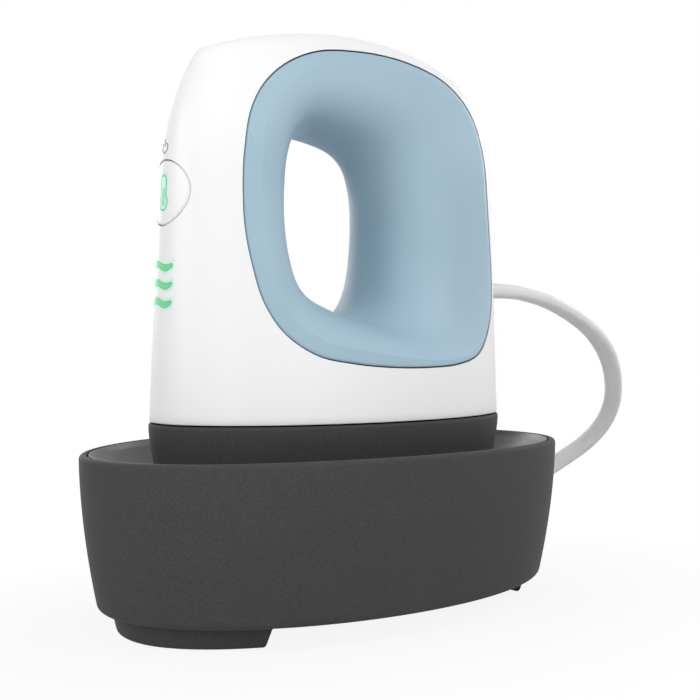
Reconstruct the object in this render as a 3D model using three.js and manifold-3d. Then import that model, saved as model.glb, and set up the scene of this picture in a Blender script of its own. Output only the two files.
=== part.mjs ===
// Mini heat press standing in its safety base, in millimetres, +Z up.
// The front, with the button, looks along -Y; the finger opening runs through along X.
// The origin is on the floor, under the middle of the base.
import * as THREE from 'three';
import { mergeVertices } from 'three/addons/utils/BufferGeometryUtils.js';
import Module from 'manifold-3d';

const wasm = await Module();
wasm.setup();

// Clearances between pieces
const GAP = 0.3;
const SLIDE_GAP = 0.5;

// Housing: half-sizes at the bottom, their change per millimetre of height, and the crown
const SHELL_HALF_LENGTH = 44.2;
const SHELL_HALF_WIDTH = 24.8;
const SHELL_LENGTH_TAPER = 0.015;
const SHELL_WIDTH_TAPER = 0.1;
const SHELL_LEAN = 0.0156;
const SHELL_ROUNDNESS = 2;
const SHELL_TOP_Z = 126.6;
const SHOULDER_HEIGHT = 25.4;
const SHOULDER_ALONG = 7.6;
const SHOULDER_ACROSS = 9.7;
const SHOULDER_POWER = 1.7;
const SHELL_WALL = 2.2;
const CROWN_LENGTH_RADIUS = 93;
const CROWN_WIDTH_RADIUS = 35;
const CROWN_CENTRE_Y = 1;
const CROWN_START_Z = 50;

// Collar and heat plate
const COLLAR_STEP = 0.1;
const COLLAR_HALF_LENGTH = SHELL_HALF_LENGTH + COLLAR_STEP;
const COLLAR_HALF_WIDTH = SHELL_HALF_WIDTH + COLLAR_STEP;
const COLLAR_BOTTOM_Z = 26.5;
const COLLAR_TOP_Z = 42.6;
const COLLAR_TAPER = 0.5;
const COLLAR_WALL = 2;
const COLLAR_DECK = 2;
const COLLAR_ROUNDNESS = 2.03;
const SPIGOT_HEIGHT = 2;
const SPIGOT_WALL = 1.6;
const PLATE_MARGIN = 3;
const PLATE_HALF_LENGTH = COLLAR_HALF_LENGTH - PLATE_MARGIN;
const PLATE_HALF_WIDTH = COLLAR_HALF_WIDTH - PLATE_MARGIN;
const DECK_OPENING_MARGIN = 13.3;
const DECK_OPENING_HALF_LENGTH = PLATE_HALF_LENGTH - DECK_OPENING_MARGIN;
const DECK_OPENING_HALF_WIDTH = 8;
const PLATE_BOTTOM_Z = 24;
const PLATE_THICKNESS = 8;
const PLATE_EDGE = 1;
const PLATE_BOSS_SHARE = 0.58;
const PLATE_BOSS_X = 14;
const PLATE_BOSS_Y = PLATE_HALF_LENGTH * PLATE_BOSS_SHARE;
const PLATE_BOSS_RADIUS = 3;
const ELEMENT_RADIUS = 2.5;
const ELEMENT_LEG_X = 7.5;
const ELEMENT_BEND_SETBACK = 26.3;
const ELEMENT_LEG_END_Y = PLATE_BOSS_Y;
const ELEMENT_BEND_Y = ELEMENT_BEND_SETBACK - PLATE_HALF_LENGTH;
const CLAMP_BOSS_Y = 10;
const CLAMP_BOSS_RADIUS = 2.2;
const CLAMP_THICKNESS = 1;
const CLAMP_HALF_WIDTH = 11;
const CLAMP_HALF_LENGTH = 14;
const INSULATION_THICKNESS = 1.4;
const INSULATION_MARGIN = 2.2;
const INSULATION_HALF_LENGTH = PLATE_HALF_LENGTH - INSULATION_MARGIN;
const INSULATION_HALF_WIDTH = PLATE_HALF_WIDTH - INSULATION_MARGIN;

// Dish and pocket of the base, which follow the collar
const DISH_WALL = 2;
const POCKET_MARGIN = 2.1;
const POCKET_HALF_LENGTH = COLLAR_HALF_LENGTH + POCKET_MARGIN;
const POCKET_HALF_WIDTH = COLLAR_HALF_WIDTH + POCKET_MARGIN;
const POCKET_SHOULDER_Z = 28.5;
const POCKET_FLOOR_Z = 19;
const POCKET_DRAFT = 0.6;
const REST_PAD_RADIUS = 4;
const REST_PAD_X = 12;
const REST_PAD_Y = PLATE_BOSS_Y - 3;
const BASE_POST_X = 19;
const BASE_POST_Y = PLATE_BOSS_Y;
const BASE_POST_RADIUS = 3.6;
const BASE_POST_TOP_Z = 11.7;

// Base hull: half-lengths along Y, half-widths along X, heights
const RIM_REACH_ALONG = 14.3;
const RIM_REACH_ACROSS = 12.8;
const RIM_HALF_LENGTH = COLLAR_HALF_LENGTH + RIM_REACH_ALONG;
const RIM_HALF_WIDTH = COLLAR_HALF_WIDTH + RIM_REACH_ACROSS;
const HULL_TUCK_ALONG = 3.7;
const HULL_TUCK_ACROSS = 4.3;
const HULL_BOTTOM_HALF_LENGTH = RIM_HALF_LENGTH - HULL_TUCK_ALONG;
const HULL_BOTTOM_HALF_WIDTH = RIM_HALF_WIDTH - HULL_TUCK_ACROSS;
const RIM_HEIGHT = 37.1;
const HULL_BOTTOM_Z = 5;
const HULL_BULGE = 1.78;
const HULL_ROUNDNESS = 2.03;
const HULL_EDGE_RADIUS = 1.2;
const RIM_DROP = 0.62;
const HULL_WALL = 2.6;
const LIP_WIDTH = 1.6;
const LIP_DEPTH = 2.5;
const FOOT_INSET_ALONG = 3.9;
const FOOT_INSET_ACROSS = 6.6;
const FOOT_HALF_LENGTH = HULL_BOTTOM_HALF_LENGTH - FOOT_INSET_ALONG;
const FOOT_HALF_WIDTH = HULL_BOTTOM_HALF_WIDTH - FOOT_INSET_ACROSS;
const FOOT_ROUNDNESS = 2.12;
const FOOT_FLARE = 1.4;
const FRONT_FOOT_LENGTH = 19.4;
const REAR_FOOT_LENGTH = 8.7;
const FRONT_FOOT_END_Y = FRONT_FOOT_LENGTH - FOOT_HALF_LENGTH;
const REAR_FOOT_START_Y = FOOT_HALF_LENGTH - REAR_FOOT_LENGTH;
const PAD_THICKNESS = 1.4;
const PAD_PROUD = 0.2;
const PAD_INSET = 2.4;

// Finger opening: seam of the grip liners and their throat, as (y, z) for a housing of the drawn sizes
const DRAWN_HALF_LENGTH = 44.2;
const DRAWN_TOP_Z = 126.6;
const SEAM_POINTS = [
  [-31.7, 88], [-31.1, 97.2], [-29.2, 105.6], [-25.4, 112], [-19.5, 117], [-11.5, 120.5],
  [-2, 121.8], [8, 122], [17, 121.1], [24.5, 119.4], [30.4, 116.2], [34.3, 111.6], [35.7, 104.5],
  [36, 97], [36.4, 89], [36.9, 81], [37.1, 74.5], [35.7, 67.5], [32.2, 61.6], [26.8, 56.8],
  [18.5, 54.7], [8, 54.1], [-3, 54.3], [-12, 55.2], [-19.2, 56.8], [-25.2, 61], [-28.8, 67],
  [-30.8, 75.5], [-31.6, 82],
];
const THROAT_POINTS = [
  [-16.7, 85], [-16.6, 89.7], [-16.1, 94.1], [-15.4, 98.2], [-14, 102.1], [-11, 103.7],
  [-7.6, 103.3], [-4.4, 102.7], [-1.7, 101.8], [0.4, 100.5], [2.1, 98.8], [3.4, 96.7], [4.6, 93.8],
  [5.5, 90.2], [5.8, 85.6], [5.5, 81.1], [5.2, 77.7], [4.9, 73.7], [4.2, 69.7], [2.8, 66],
  [-0.1, 64], [-4.1, 64.1], [-8, 66.1], [-10.8, 67.6], [-13, 68.8], [-14.9, 70.9], [-16.1, 74],
  [-16.7, 78.4], [-16.7, 81.9],
];
const LINER_WALL = 1.8;
const LINER_PROFILE_POWER = 2.2;
const LINER_STEPS_AROUND = 36;
const LINER_STEPS_DEEP = 6;

// Button and lights on the front
const BUTTON_Z = 89.5;
const BUTTON_RADIUS = 6.5;
const BUTTON_TRAVEL = 0.5;
const BUTTON_TAB_THICKNESS = 1;
const BUTTON_TAB_HALF_WIDTH = 3;
const BUTTON_TAB_HALF_HEIGHT = 8;
const ICON_TUBE_RADIUS = 0.9;
const ICON_BULB_RADIUS = 1.4;
const ICON_HALF_HEIGHT = 3.7;
const WAVE_Z = [67.3, 71, 74.7];
const WAVE_HALF_WIDTH = 3.6;
const WAVE_AMPLITUDE = 0.45;
const WAVE_THICKNESS = 1.1;

// Board and chassis
const BOARD_THICKNESS = 1.6;
const BOARD_HALF_WIDTH = 6.4;
const BOARD_BOTTOM_Z = 49.5;
const BOARD_TOP_Z = 103;
const BOARD_SCREW_Z = [52.6, 100.4];
const CHASSIS_THICKNESS = 2;
const TOWER_HALF_WIDTH = 6.4;
const TOWER_DEPTH = 5;
const TOWER_BAR = 6;
const TOWER_RAIL = 2;
const SIDE_POST_X = 16.6;
const SIDE_POST_RADIUS = 3;
const SIDE_POST_TOP_Z = 48.6;
const SHELL_TAB_THICKNESS = 2;
const SHELL_TAB_HALF_LENGTH = 4;
const CABLE_POST_SETBACK = 11.2;
const CABLE_POST_Y = SHELL_HALF_LENGTH - CABLE_POST_SETBACK;
const CABLE_POST_HALF_WIDTH = 5.2;
const CABLE_POST_HALF_DEPTH = 2.5;
const SWITCH_SIZE = 6;
const SWITCH_DEPTH = 2.5;
const SWITCH_Z = 82.5;
const PLUNGER_RADIUS = 1.2;
const PLUNGER_SHOWING = 1.1;
const PLUNGER_DEPTH = 1;
const LED_HALF_WIDTH = 1.2;
const LED_HALF_HEIGHT = 0.7;
const LED_DEPTH = 1;
const BUTTON_LED_Z = 92.5;
const CHIP_SIZE = 3.6;
const CHIP_THICKNESS = 1.4;
const CHIP_Z = 78;
const CAPACITOR_HALF_WIDTH = 3.4;
const CAPACITOR_DEPTH = 3.6;
const CAPACITOR_HEIGHT = 6;
const CAPACITOR_Z = 56.2;
const BUZZER_Y = -6;
const BUZZER_RADIUS = 4.5;
const BUZZER_HEIGHT = 4;
const TRIAC_Y = 8;
const TRIAC_HALF_WIDTH = 5;
const TRIAC_DEPTH = 4.4;
const TRIAC_HEIGHT = 9;
const TRIAC_FIN_THICKNESS = 1.5;
const TRIAC_FIN_HEIGHT = 4;
const THERMISTOR_HALF_WIDTH = 1.8;
const THERMISTOR_HALF_LENGTH = 4;
const THERMISTOR_HEIGHT = 3;
const FUSE_RADIUS = 1.8;
const FUSE_START_Y = 14;
const FUSE_END_Y = 22;
const WIRE_OPENING_HALF_WIDTH = 5;
const WIRE_OPENING_START_Y = -20;
const WIRE_OPENING_END_Y = -14;

// Screws
const SCREW_RADIUS = 1.2;
const SCREW_HEAD_RADIUS = 2.3;
const SCREW_HEAD_HEIGHT = 1.5;
const SCREW_HOLE_RADIUS = SCREW_RADIUS + GAP;
const SCREW_STEPS = 8;
const BOARD_SCREW_LENGTH = 4.5;

// Lead: a flat twin cord, its strain relief, its route and its coil
const CORD_WIDTH = 5;
const CORD_THICKNESS = 3.2;
const CORD_EXIT_Z = 72;
const CORD_EXIT_DROP = 0.4;
const RELIEF_TAIL = 4;
const RELIEF_END_Y = RIM_HALF_LENGTH - GAP;
const RELIEF_INNER_Y = CABLE_POST_Y - RELIEF_TAIL;
const RELIEF_FLANGE_WIDTH = 1.2;
const RELIEF_FLANGE_THICKNESS = 1.6;
const CORD_REST_Z = 3.5;
const CORD_STEPS = 60;
const CORD_ROUTE = [
  [0, RELIEF_END_Y + GAP, CORD_EXIT_Z - CORD_EXIT_DROP], [0, 66.1, 70.3], [-0.8, 72.7, 68.7], [-2.2, 81.8, 65.7],
  [-4, 90.1, 62.2], [-6.4, 97, 58.5], [-9.6, 103.9, 53.8], [-14, 110.7, 47.6], [-19, 115.9, 40.9], [-25, 118.6, 34.2],
  [-31.5, 118.4, 28.2], [-38, 115.1, 22.7], [-43.5, 109.2, 17.2], [-47.5, 101.1, 12.1], [-49.6, 91.5, 7.6],
  [-49.6, 81.5, 4.9], [-48.4, 71.5, 3.8], [-46.6, 62, 3.5], [-45.2, 53, 3.5], [-45, 43.5, 3.5],
  [-45, 33.3, 3.5],
];
const COIL_CENTRE_X = -84;
const COIL_CENTRE_Y = 28;
const COIL_OUTER_RADIUS = 39;
const COIL_PITCH = 5;
const COIL_TURNS_PER_LAYER = 4.5417;
const COIL_LAYER_RISE = 5.7;
const COIL_STEPS_PER_TURN = 24;
const COIL_SIDES = 6;
const TIE_THICKNESS = 0.6;
const TIE_HALF_WIDTH = 4;
const PLUG_HALF_WIDTH = 12;
const PLUG_HALF_HEIGHT = 8.5;
const PLUG_LENGTH = 26;
const PLUG_RELIEF_LENGTH = 27;
const PLUG_NECK_HALF_WIDTH = 4.5;
const PLUG_NECK_HALF_HEIGHT = 4;
const BLADE_WIDTH = 6.3;
const BLADE_THICKNESS = 1.5;
const BLADE_REACH = 17;
const BLADE_DEPTH = 5;
const BLADE_SPACING = 12.7;

// Counts of straight steps round the larger outlines
const STEPS_AROUND = 40;
const ROUND_STEPS = 12;
const BUTTON_STEPS = 20;

const COLOURS = {
  shell: { color: 0xf2f3f4, roughness: 0.28, metalness: 0 },
  grip: { color: 0x9fb8c9, roughness: 0.62, metalness: 0 },
  charcoal: { color: 0x3b3b3d, roughness: 0.8, metalness: 0 },
  dish: { color: 0x47474a, roughness: 0.7, metalness: 0 },
  rubber: { color: 0x232425, roughness: 0.9, metalness: 0 },
  plate: { color: 0x5c5a57, roughness: 0.45, metalness: 0.6 },
  steel: { color: 0xb9bcc0, roughness: 0.35, metalness: 1 },
  fibre: { color: 0xd9d2c0, roughness: 0.95, metalness: 0 },
  inner: { color: 0xcfcfc9, roughness: 0.6, metalness: 0 },
  board: { color: 0x1f5c3a, roughness: 0.55, metalness: 0 },
  chip: { color: 0x1b1b1d, roughness: 0.5, metalness: 0 },
  glow: { color: 0x66d992, roughness: 0.3, metalness: 0 },
  lead: { color: 0xcdced0, roughness: 0.55, metalness: 0 },
};

const group = new THREE.Group();

function addPart(name, geometry, finish) {
  const material = new THREE.MeshStandardMaterial(COLOURS[finish]);
  const mesh = new THREE.Mesh(geometry, material);
  mesh.name = name;
  group.add(mesh);
}

function signedVolume(points, triangles) {
  let total = 0;
  const cross = new THREE.Vector3();
  for (let i = 0; i < triangles.length; i += 3) {
    const [a, b, c] = [points[triangles[i]], points[triangles[i + 1]], points[triangles[i + 2]]];
    total += a.dot(cross.crossVectors(b, c));
  }
  return total / 6;
}

function bodyOf(points, triangles) {
  if (signedVolume(points, triangles) < 0) {
    triangles.reverse();
  }
  const geometry = new THREE.BufferGeometry();
  geometry.setAttribute('position', new THREE.Float32BufferAttribute(points.flatMap((p) => p.toArray()), 3));
  geometry.setIndex(triangles);
  return geometry;
}

function joinRings(first, second, count, triangles) {
  for (let i = 0; i < count; i += 1) {
    const next = (i + 1) % count;
    triangles.push(first + i, first + next, second + next);
    triangles.push(first + i, second + next, second + i);
  }
}

// A stack of rings of equal counts, closed at both ends by fans to their middles.
function stackSolid(rings) {
  const count = rings[0].length;
  const points = rings.flat();
  const triangles = [];
  for (let i = 0; i + 1 < rings.length; i += 1) {
    joinRings(i * count, (i + 1) * count, count, triangles);
  }
  const last = (rings.length - 1) * count;
  const startMiddle = points.length;
  points.push(middleOf(rings[0]));
  points.push(middleOf(rings[rings.length - 1]));
  for (let i = 0; i < count; i += 1) {
    const next = (i + 1) % count;
    triangles.push(startMiddle, next, i);
    triangles.push(startMiddle + 1, last + i, last + next);
  }
  return bodyOf(points, triangles);
}

// Rings joined in a closed round, like the skin of a ring.
function roundSolid(rings) {
  const count = rings[0].length;
  const triangles = [];
  for (let i = 0; i < rings.length; i += 1) {
    joinRings(i * count, ((i + 1) % rings.length) * count, count, triangles);
  }
  return bodyOf(rings.flat(), triangles);
}

function middleOf(ring) {
  const middle = new THREE.Vector3();
  for (const point of ring) {
    middle.add(point);
  }
  return middle.divideScalar(ring.length);
}

// Superellipse in the XY plane, counter-clockwise, with half-width a and half-length b.
function ovalRing(halfWidth, halfLength, power, z, steps = STEPS_AROUND, centreY = 0) {
  const ring = [];
  for (let i = 0; i < steps; i += 1) {
    const angle = (i / steps) * Math.PI * 2;
    const c = Math.cos(angle);
    const s = Math.sin(angle);
    ring.push(new THREE.Vector3(
      halfWidth * Math.sign(c) * Math.abs(c) ** (2 / power),
      centreY + halfLength * Math.sign(s) * Math.abs(s) ** (2 / power),
      z,
    ));
  }
  return ring;
}

function toSolid(geometry) {
  const bare = geometry.clone();
  bare.deleteAttribute('normal');
  bare.deleteAttribute('uv');
  const merged = mergeVertices(bare, 1e-5);
  return new wasm.Manifold(new wasm.Mesh({
    numProp: 3,
    vertProperties: new Float32Array(merged.attributes.position.array),
    triVerts: new Uint32Array(merged.index.array),
  }));
}

function toGeometry(solid) {
  const mesh = solid.getMesh();
  const geometry = new THREE.BufferGeometry();
  geometry.setAttribute('position', new THREE.Float32BufferAttribute(mesh.vertProperties, 3));
  geometry.setIndex(Array.from(mesh.triVerts));
  return geometry;
}

function cutAll(geometry, cutters) {
  return toGeometry(cutters.reduce((solid, cutter) => solid.subtract(toSolid(cutter)), toSolid(geometry)));
}

function joinAll(geometries) {
  const [first, ...others] = geometries.map(toSolid);
  return toGeometry(others.reduce((solid, other) => solid.add(other), first));
}

// Box from its lowest to its highest corner.
function boxBetween(low, high) {
  const size = high.map((value, i) => value - low[i]);
  const box = new THREE.BoxGeometry(...size);
  box.translate(...low.map((value, i) => value + size[i] / 2));
  return box;
}

function post(x, y, lowZ, highZ, radius, steps = ROUND_STEPS) {
  const cylinder = new THREE.CylinderGeometry(radius, radius, highZ - lowZ, steps);
  cylinder.rotateX(Math.PI / 2);
  cylinder.translate(x, y, (lowZ + highZ) / 2);
  return cylinder;
}

function rodAlongY(x, z, lowY, highY, radius, steps = ROUND_STEPS) {
  const cylinder = new THREE.CylinderGeometry(radius, radius, highY - lowY, steps);
  cylinder.translate(x, (lowY + highY) / 2, z);
  return cylinder;
}

// Pan-head screw as one turned body; headZ is the underside of its head, tipZ the end of its shank.
function screwAlongZ(x, y, headZ, tipZ) {
  const up = Math.sign(headZ - tipZ);
  const length = Math.abs(headZ - tipZ);
  const profile = [
    new THREE.Vector2(0, -length),
    new THREE.Vector2(SCREW_RADIUS, -length + SCREW_RADIUS * 0.6),
    new THREE.Vector2(SCREW_RADIUS, 0),
    new THREE.Vector2(SCREW_HEAD_RADIUS, 0),
    new THREE.Vector2(SCREW_HEAD_RADIUS, SCREW_HEAD_HEIGHT * 0.5),
    new THREE.Vector2(SCREW_HEAD_RADIUS * 0.7, SCREW_HEAD_HEIGHT),
    new THREE.Vector2(0, SCREW_HEAD_HEIGHT),
  ];
  const screw = new THREE.LatheGeometry(profile, SCREW_STEPS);
  screw.rotateX(up > 0 ? Math.PI / 2 : -Math.PI / 2);
  screw.translate(x, y, headZ);
  return screw;
}

// Outline in (y, z), pushed through along X.
function prismAlongX(outline, lowX, highX) {
  const shape = new THREE.Shape(outline.map(([y, z]) => new THREE.Vector2(y, z)));
  const prism = new THREE.ExtrudeGeometry(shape, { depth: highX - lowX, bevelEnabled: false });
  prism.applyMatrix4(new THREE.Matrix4().makeBasis(
    new THREE.Vector3(0, 1, 0),
    new THREE.Vector3(0, 0, 1),
    new THREE.Vector3(1, 0, 0),
  ));
  prism.translate(lowX, 0, 0);
  return prism;
}

// Outline in (x, z), pushed through along Y.
function prismAlongY(outline, lowY, highY) {
  const shape = new THREE.Shape(outline.map(([x, z]) => new THREE.Vector2(x, z)));
  const prism = new THREE.ExtrudeGeometry(shape, { depth: highY - lowY, bevelEnabled: false });
  prism.applyMatrix4(new THREE.Matrix4().makeBasis(
    new THREE.Vector3(1, 0, 0),
    new THREE.Vector3(0, 0, 1),
    new THREE.Vector3(0, -1, 0),
  ));
  prism.translate(0, highY, 0);
  return prism;
}

// Base hull
function hullRing(z, inset, drop = RIM_DROP) {
  const share = THREE.MathUtils.clamp((z - HULL_BOTTOM_Z) / (RIM_HEIGHT - HULL_BOTTOM_Z), 0, 1);
  const bulge = 1 - (1 - share) ** HULL_BULGE;
  const halfWidth = HULL_BOTTOM_HALF_WIDTH + (RIM_HALF_WIDTH - HULL_BOTTOM_HALF_WIDTH) * bulge - inset;
  const halfLength = HULL_BOTTOM_HALF_LENGTH + (RIM_HALF_LENGTH - HULL_BOTTOM_HALF_LENGTH) * bulge - inset;
  return dropEnds(ovalRing(halfWidth, halfLength, HULL_ROUNDNESS, z), drop);
}

function hullLevel(share) {
  return HULL_BOTTOM_Z + (RIM_HEIGHT - HULL_BOTTOM_Z) * share;
}

// The rim dips a little towards the front and the back.
function dropEnds(ring, drop) {
  for (const point of ring) {
    const share = THREE.MathUtils.clamp((point.z - HULL_BOTTOM_Z) / (RIM_HEIGHT - HULL_BOTTOM_Z), 0, 1);
    point.z -= drop * share * (point.y / RIM_HALF_LENGTH) ** 2;
  }
  return ring;
}

function footSolid(inset, lowZ, highZ) {
  return stackSolid([
    ovalRing(FOOT_HALF_WIDTH - inset, FOOT_HALF_LENGTH - inset, FOOT_ROUNDNESS, lowZ),
    ovalRing(FOOT_HALF_WIDTH - inset + FOOT_FLARE, FOOT_HALF_LENGTH - inset + FOOT_FLARE, FOOT_ROUNDNESS, highZ),
  ]);
}

function basePostPlaces() {
  return [[-1, -1], [1, -1], [1, 1], [-1, 1]].map(([i, j]) => [i * BASE_POST_X, j * BASE_POST_Y]);
}

const HULL_FLOOR_Z = HULL_BOTTOM_Z + HULL_WALL;
const SCREW_SEAT_Z = HULL_FLOOR_Z + 1.2;
const LEDGE_Z = RIM_HEIGHT - LIP_DEPTH;

// Room that a foot pad takes, grown by a clearance for the recess it sits in.
function padSolid(front, clearance, highZ) {
  const [lowY, highY] = front
    ? [-FOOT_HALF_LENGTH, FRONT_FOOT_END_Y - PAD_INSET]
    : [REAR_FOOT_START_Y + PAD_INSET, FOOT_HALF_LENGTH];
  const pad = stackSolid([
    ovalRing(FOOT_HALF_WIDTH - PAD_INSET + clearance, FOOT_HALF_LENGTH - PAD_INSET + clearance, FOOT_ROUNDNESS, 0),
    ovalRing(FOOT_HALF_WIDTH - PAD_INSET + clearance, FOOT_HALF_LENGTH - PAD_INSET + clearance, FOOT_ROUNDNESS, highZ),
  ]);
  const slab = boxBetween(
    [-RIM_HALF_WIDTH, lowY - clearance, -1],
    [RIM_HALF_WIDTH, highY + clearance, highZ + 1],
  );
  return toGeometry(toSolid(pad).intersect(toSolid(slab)));
}

function makeBaseShell() {
  const edge = HULL_EDGE_RADIUS;
  const hull = stackSolid([
    hullRing(HULL_BOTTOM_Z, edge),
    hullRing(HULL_BOTTOM_Z + edge * 0.3, edge * 0.3),
    hullRing(HULL_BOTTOM_Z + edge, 0),
    hullRing(hullLevel(0.22), 0),
    hullRing(hullLevel(0.47), 0),
    hullRing(hullLevel(0.72), 0),
    hullRing(RIM_HEIGHT - 0.8, 0),
    hullRing(RIM_HEIGHT - 0.15, LIP_WIDTH * 0.3),
    hullRing(RIM_HEIGHT, LIP_WIDTH),
    hullRing(LEDGE_Z, LIP_WIDTH),
    hullRing(LEDGE_Z, LIP_WIDTH + 1.4),
    hullRing(hullLevel(0.47), HULL_WALL),
    hullRing(hullLevel(0.22), HULL_WALL),
    hullRing(HULL_FLOOR_Z, HULL_WALL + edge),
  ]);
  const feet = cutAll(footSolid(0, PAD_PROUD, HULL_BOTTOM_Z + 0.6), [
    boxBetween([-RIM_HALF_WIDTH, FRONT_FOOT_END_Y, -1], [RIM_HALF_WIDTH, REAR_FOOT_START_Y, HULL_BOTTOM_Z]),
  ]);
  const posts = basePostPlaces().map(([x, y]) => post(x, y, HULL_FLOOR_Z - 1, BASE_POST_TOP_Z, BASE_POST_RADIUS));
  const holes = basePostPlaces().flatMap(([x, y]) => [
    post(x, y, HULL_BOTTOM_Z - 1, SCREW_SEAT_Z, SCREW_HEAD_RADIUS + GAP),
    post(x, y, HULL_BOTTOM_Z, BASE_POST_TOP_Z + 1, SCREW_HOLE_RADIUS),
  ]);
  const recesses = [true, false].map((front) => padSolid(front, GAP, PAD_THICKNESS + GAP));
  return cutAll(joinAll([hull, feet, ...posts]), [...holes, ...recesses]);
}

function pocketRing(z, grow) {
  const draft = POCKET_DRAFT * (POCKET_SHOULDER_Z - z) / (POCKET_SHOULDER_Z - POCKET_FLOOR_Z);
  return ovalRing(POCKET_HALF_WIDTH - draft + grow, POCKET_HALF_LENGTH - draft + grow, COLLAR_ROUNDNESS, z);
}

// A ring part of the way from the rim of the dish to the mouth of its pocket.
function dishBetween(share, z, outer) {
  const rim = hullRing(RIM_HEIGHT, outer);
  const mouth = pocketRing(POCKET_SHOULDER_Z, 0);
  return rim.map((point, i) => {
    const mixed = point.clone().lerp(mouth[i], share);
    mixed.z = point.z - RIM_HEIGHT + z;
    return mixed;
  });
}

// Height in the dish, from 0 at the mouth of the pocket to 1 at the rim.
function dishHeight(share) {
  return POCKET_SHOULDER_Z + (RIM_HEIGHT - POCKET_SHOULDER_Z) * share;
}

function makeBaseLiner() {
  const outer = LIP_WIDTH + GAP;
  const under = DISH_WALL;
  const liner = stackSolid([
    pocketRing(POCKET_FLOOR_Z - under, under),
    pocketRing(POCKET_SHOULDER_Z - under, under),
    dishBetween(0.6, dishHeight(0.22) - under, outer),
    dishBetween(0.25, LEDGE_Z + GAP - 1.4, outer + 1.2),
    dishBetween(0.12, LEDGE_Z + GAP, outer),
    dishBetween(0, LEDGE_Z + GAP, outer),
    dishBetween(0, RIM_HEIGHT, outer),
    dishBetween(0.06, dishHeight(0.95), outer),
    dishBetween(0.3, dishHeight(0.6), outer),
    dishBetween(0.65, dishHeight(0.25), outer),
    dishBetween(0.92, dishHeight(0.08), outer),
    pocketRing(POCKET_SHOULDER_Z, 0),
    pocketRing(POCKET_FLOOR_Z, 0),
  ]);
  const bosses = basePostPlaces().map(([x, y]) => (
    post(x, y, BASE_POST_TOP_Z + GAP, POCKET_FLOOR_Z - under + 0.5, BASE_POST_RADIUS)
  ));
  const holes = basePostPlaces().map(([x, y]) => (
    post(x, y, BASE_POST_TOP_Z, POCKET_FLOOR_Z - 1, SCREW_HOLE_RADIUS)
  ));
  return cutAll(joinAll([liner, ...bosses]), holes);
}

function makeRestPad(x, y) {
  return post(x, y, POCKET_FLOOR_Z + GAP, PLATE_BOTTOM_Z - GAP, REST_PAD_RADIUS);
}

// Heat plate and what lies on it
const PLATE_TOP_Z = PLATE_BOTTOM_Z + PLATE_THICKNESS;
const DECK_BOTTOM_Z = COLLAR_TOP_Z - COLLAR_DECK;
const ELEMENT_Z = PLATE_TOP_Z + GAP + ELEMENT_RADIUS;
const CLAMP_Z = ELEMENT_Z + ELEMENT_RADIUS + GAP;
const INSULATION_Z = DECK_BOTTOM_Z - GAP - INSULATION_THICKNESS;
const PLATE_BOSS_PLACES = [[-1, -1], [1, -1], [1, 1], [-1, 1]].map(([i, j]) => [i * PLATE_BOSS_X, j * PLATE_BOSS_Y]);
const CLAMP_BOSS_PLACES = [[0, -CLAMP_BOSS_Y], [0, CLAMP_BOSS_Y]];

function makeHeatPlate() {
  const slab = stackSolid([
    ovalRing(PLATE_HALF_WIDTH - PLATE_EDGE, PLATE_HALF_LENGTH - PLATE_EDGE, COLLAR_ROUNDNESS, PLATE_BOTTOM_Z),
    ovalRing(PLATE_HALF_WIDTH, PLATE_HALF_LENGTH, COLLAR_ROUNDNESS, PLATE_BOTTOM_Z + PLATE_EDGE),
    ovalRing(PLATE_HALF_WIDTH, PLATE_HALF_LENGTH, COLLAR_ROUNDNESS, PLATE_TOP_Z),
  ]);
  const bosses = [
    ...PLATE_BOSS_PLACES.map(([x, y]) => (
      post(x, y, PLATE_TOP_Z - 1, DECK_BOTTOM_Z - GAP, PLATE_BOSS_RADIUS)
    )),
    ...CLAMP_BOSS_PLACES.map(([x, y]) => post(x, y, PLATE_TOP_Z - 1, CLAMP_Z - GAP, CLAMP_BOSS_RADIUS)),
  ];
  const holes = [
    ...PLATE_BOSS_PLACES.map(([x, y]) => (
      post(x, y, PLATE_TOP_Z, DECK_BOTTOM_Z, SCREW_HOLE_RADIUS)
    )),
    ...CLAMP_BOSS_PLACES.map(([x, y]) => post(x, y, PLATE_TOP_Z, CLAMP_Z, SCREW_HOLE_RADIUS)),
  ];
  return cutAll(joinAll([slab, ...bosses]), holes);
}

function makeHeatingElement() {
  const route = [[-ELEMENT_LEG_X, ELEMENT_LEG_END_Y], [-ELEMENT_LEG_X, 4], [-ELEMENT_LEG_X, ELEMENT_BEND_Y]];
  for (let i = 1; i < 6; i += 1) {
    const angle = Math.PI + (i / 6) * Math.PI;
    route.push([ELEMENT_LEG_X * Math.cos(angle), ELEMENT_BEND_Y + ELEMENT_LEG_X * Math.sin(angle)]);
  }
  route.push([ELEMENT_LEG_X, ELEMENT_BEND_Y], [ELEMENT_LEG_X, 4], [ELEMENT_LEG_X, ELEMENT_LEG_END_Y]);
  const path = new THREE.CatmullRomCurve3(route.map(([x, y]) => new THREE.Vector3(x, y, ELEMENT_Z)));
  const section = new THREE.Shape();
  section.absarc(0, 0, ELEMENT_RADIUS, 0, Math.PI * 2);
  return new THREE.ExtrudeGeometry(section, { steps: 24, curveSegments: 4, extrudePath: path, bevelEnabled: false });
}

function makeElementClamp() {
  const strap = boxBetween(
    [-CLAMP_HALF_WIDTH, -CLAMP_HALF_LENGTH, CLAMP_Z],
    [CLAMP_HALF_WIDTH, CLAMP_HALF_LENGTH, CLAMP_Z + CLAMP_THICKNESS],
  );
  const holes = CLAMP_BOSS_PLACES.map(([x, y]) => post(x, y, CLAMP_Z - 1, CLAMP_Z + 2, SCREW_HOLE_RADIUS));
  return cutAll(strap, holes);
}

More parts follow.
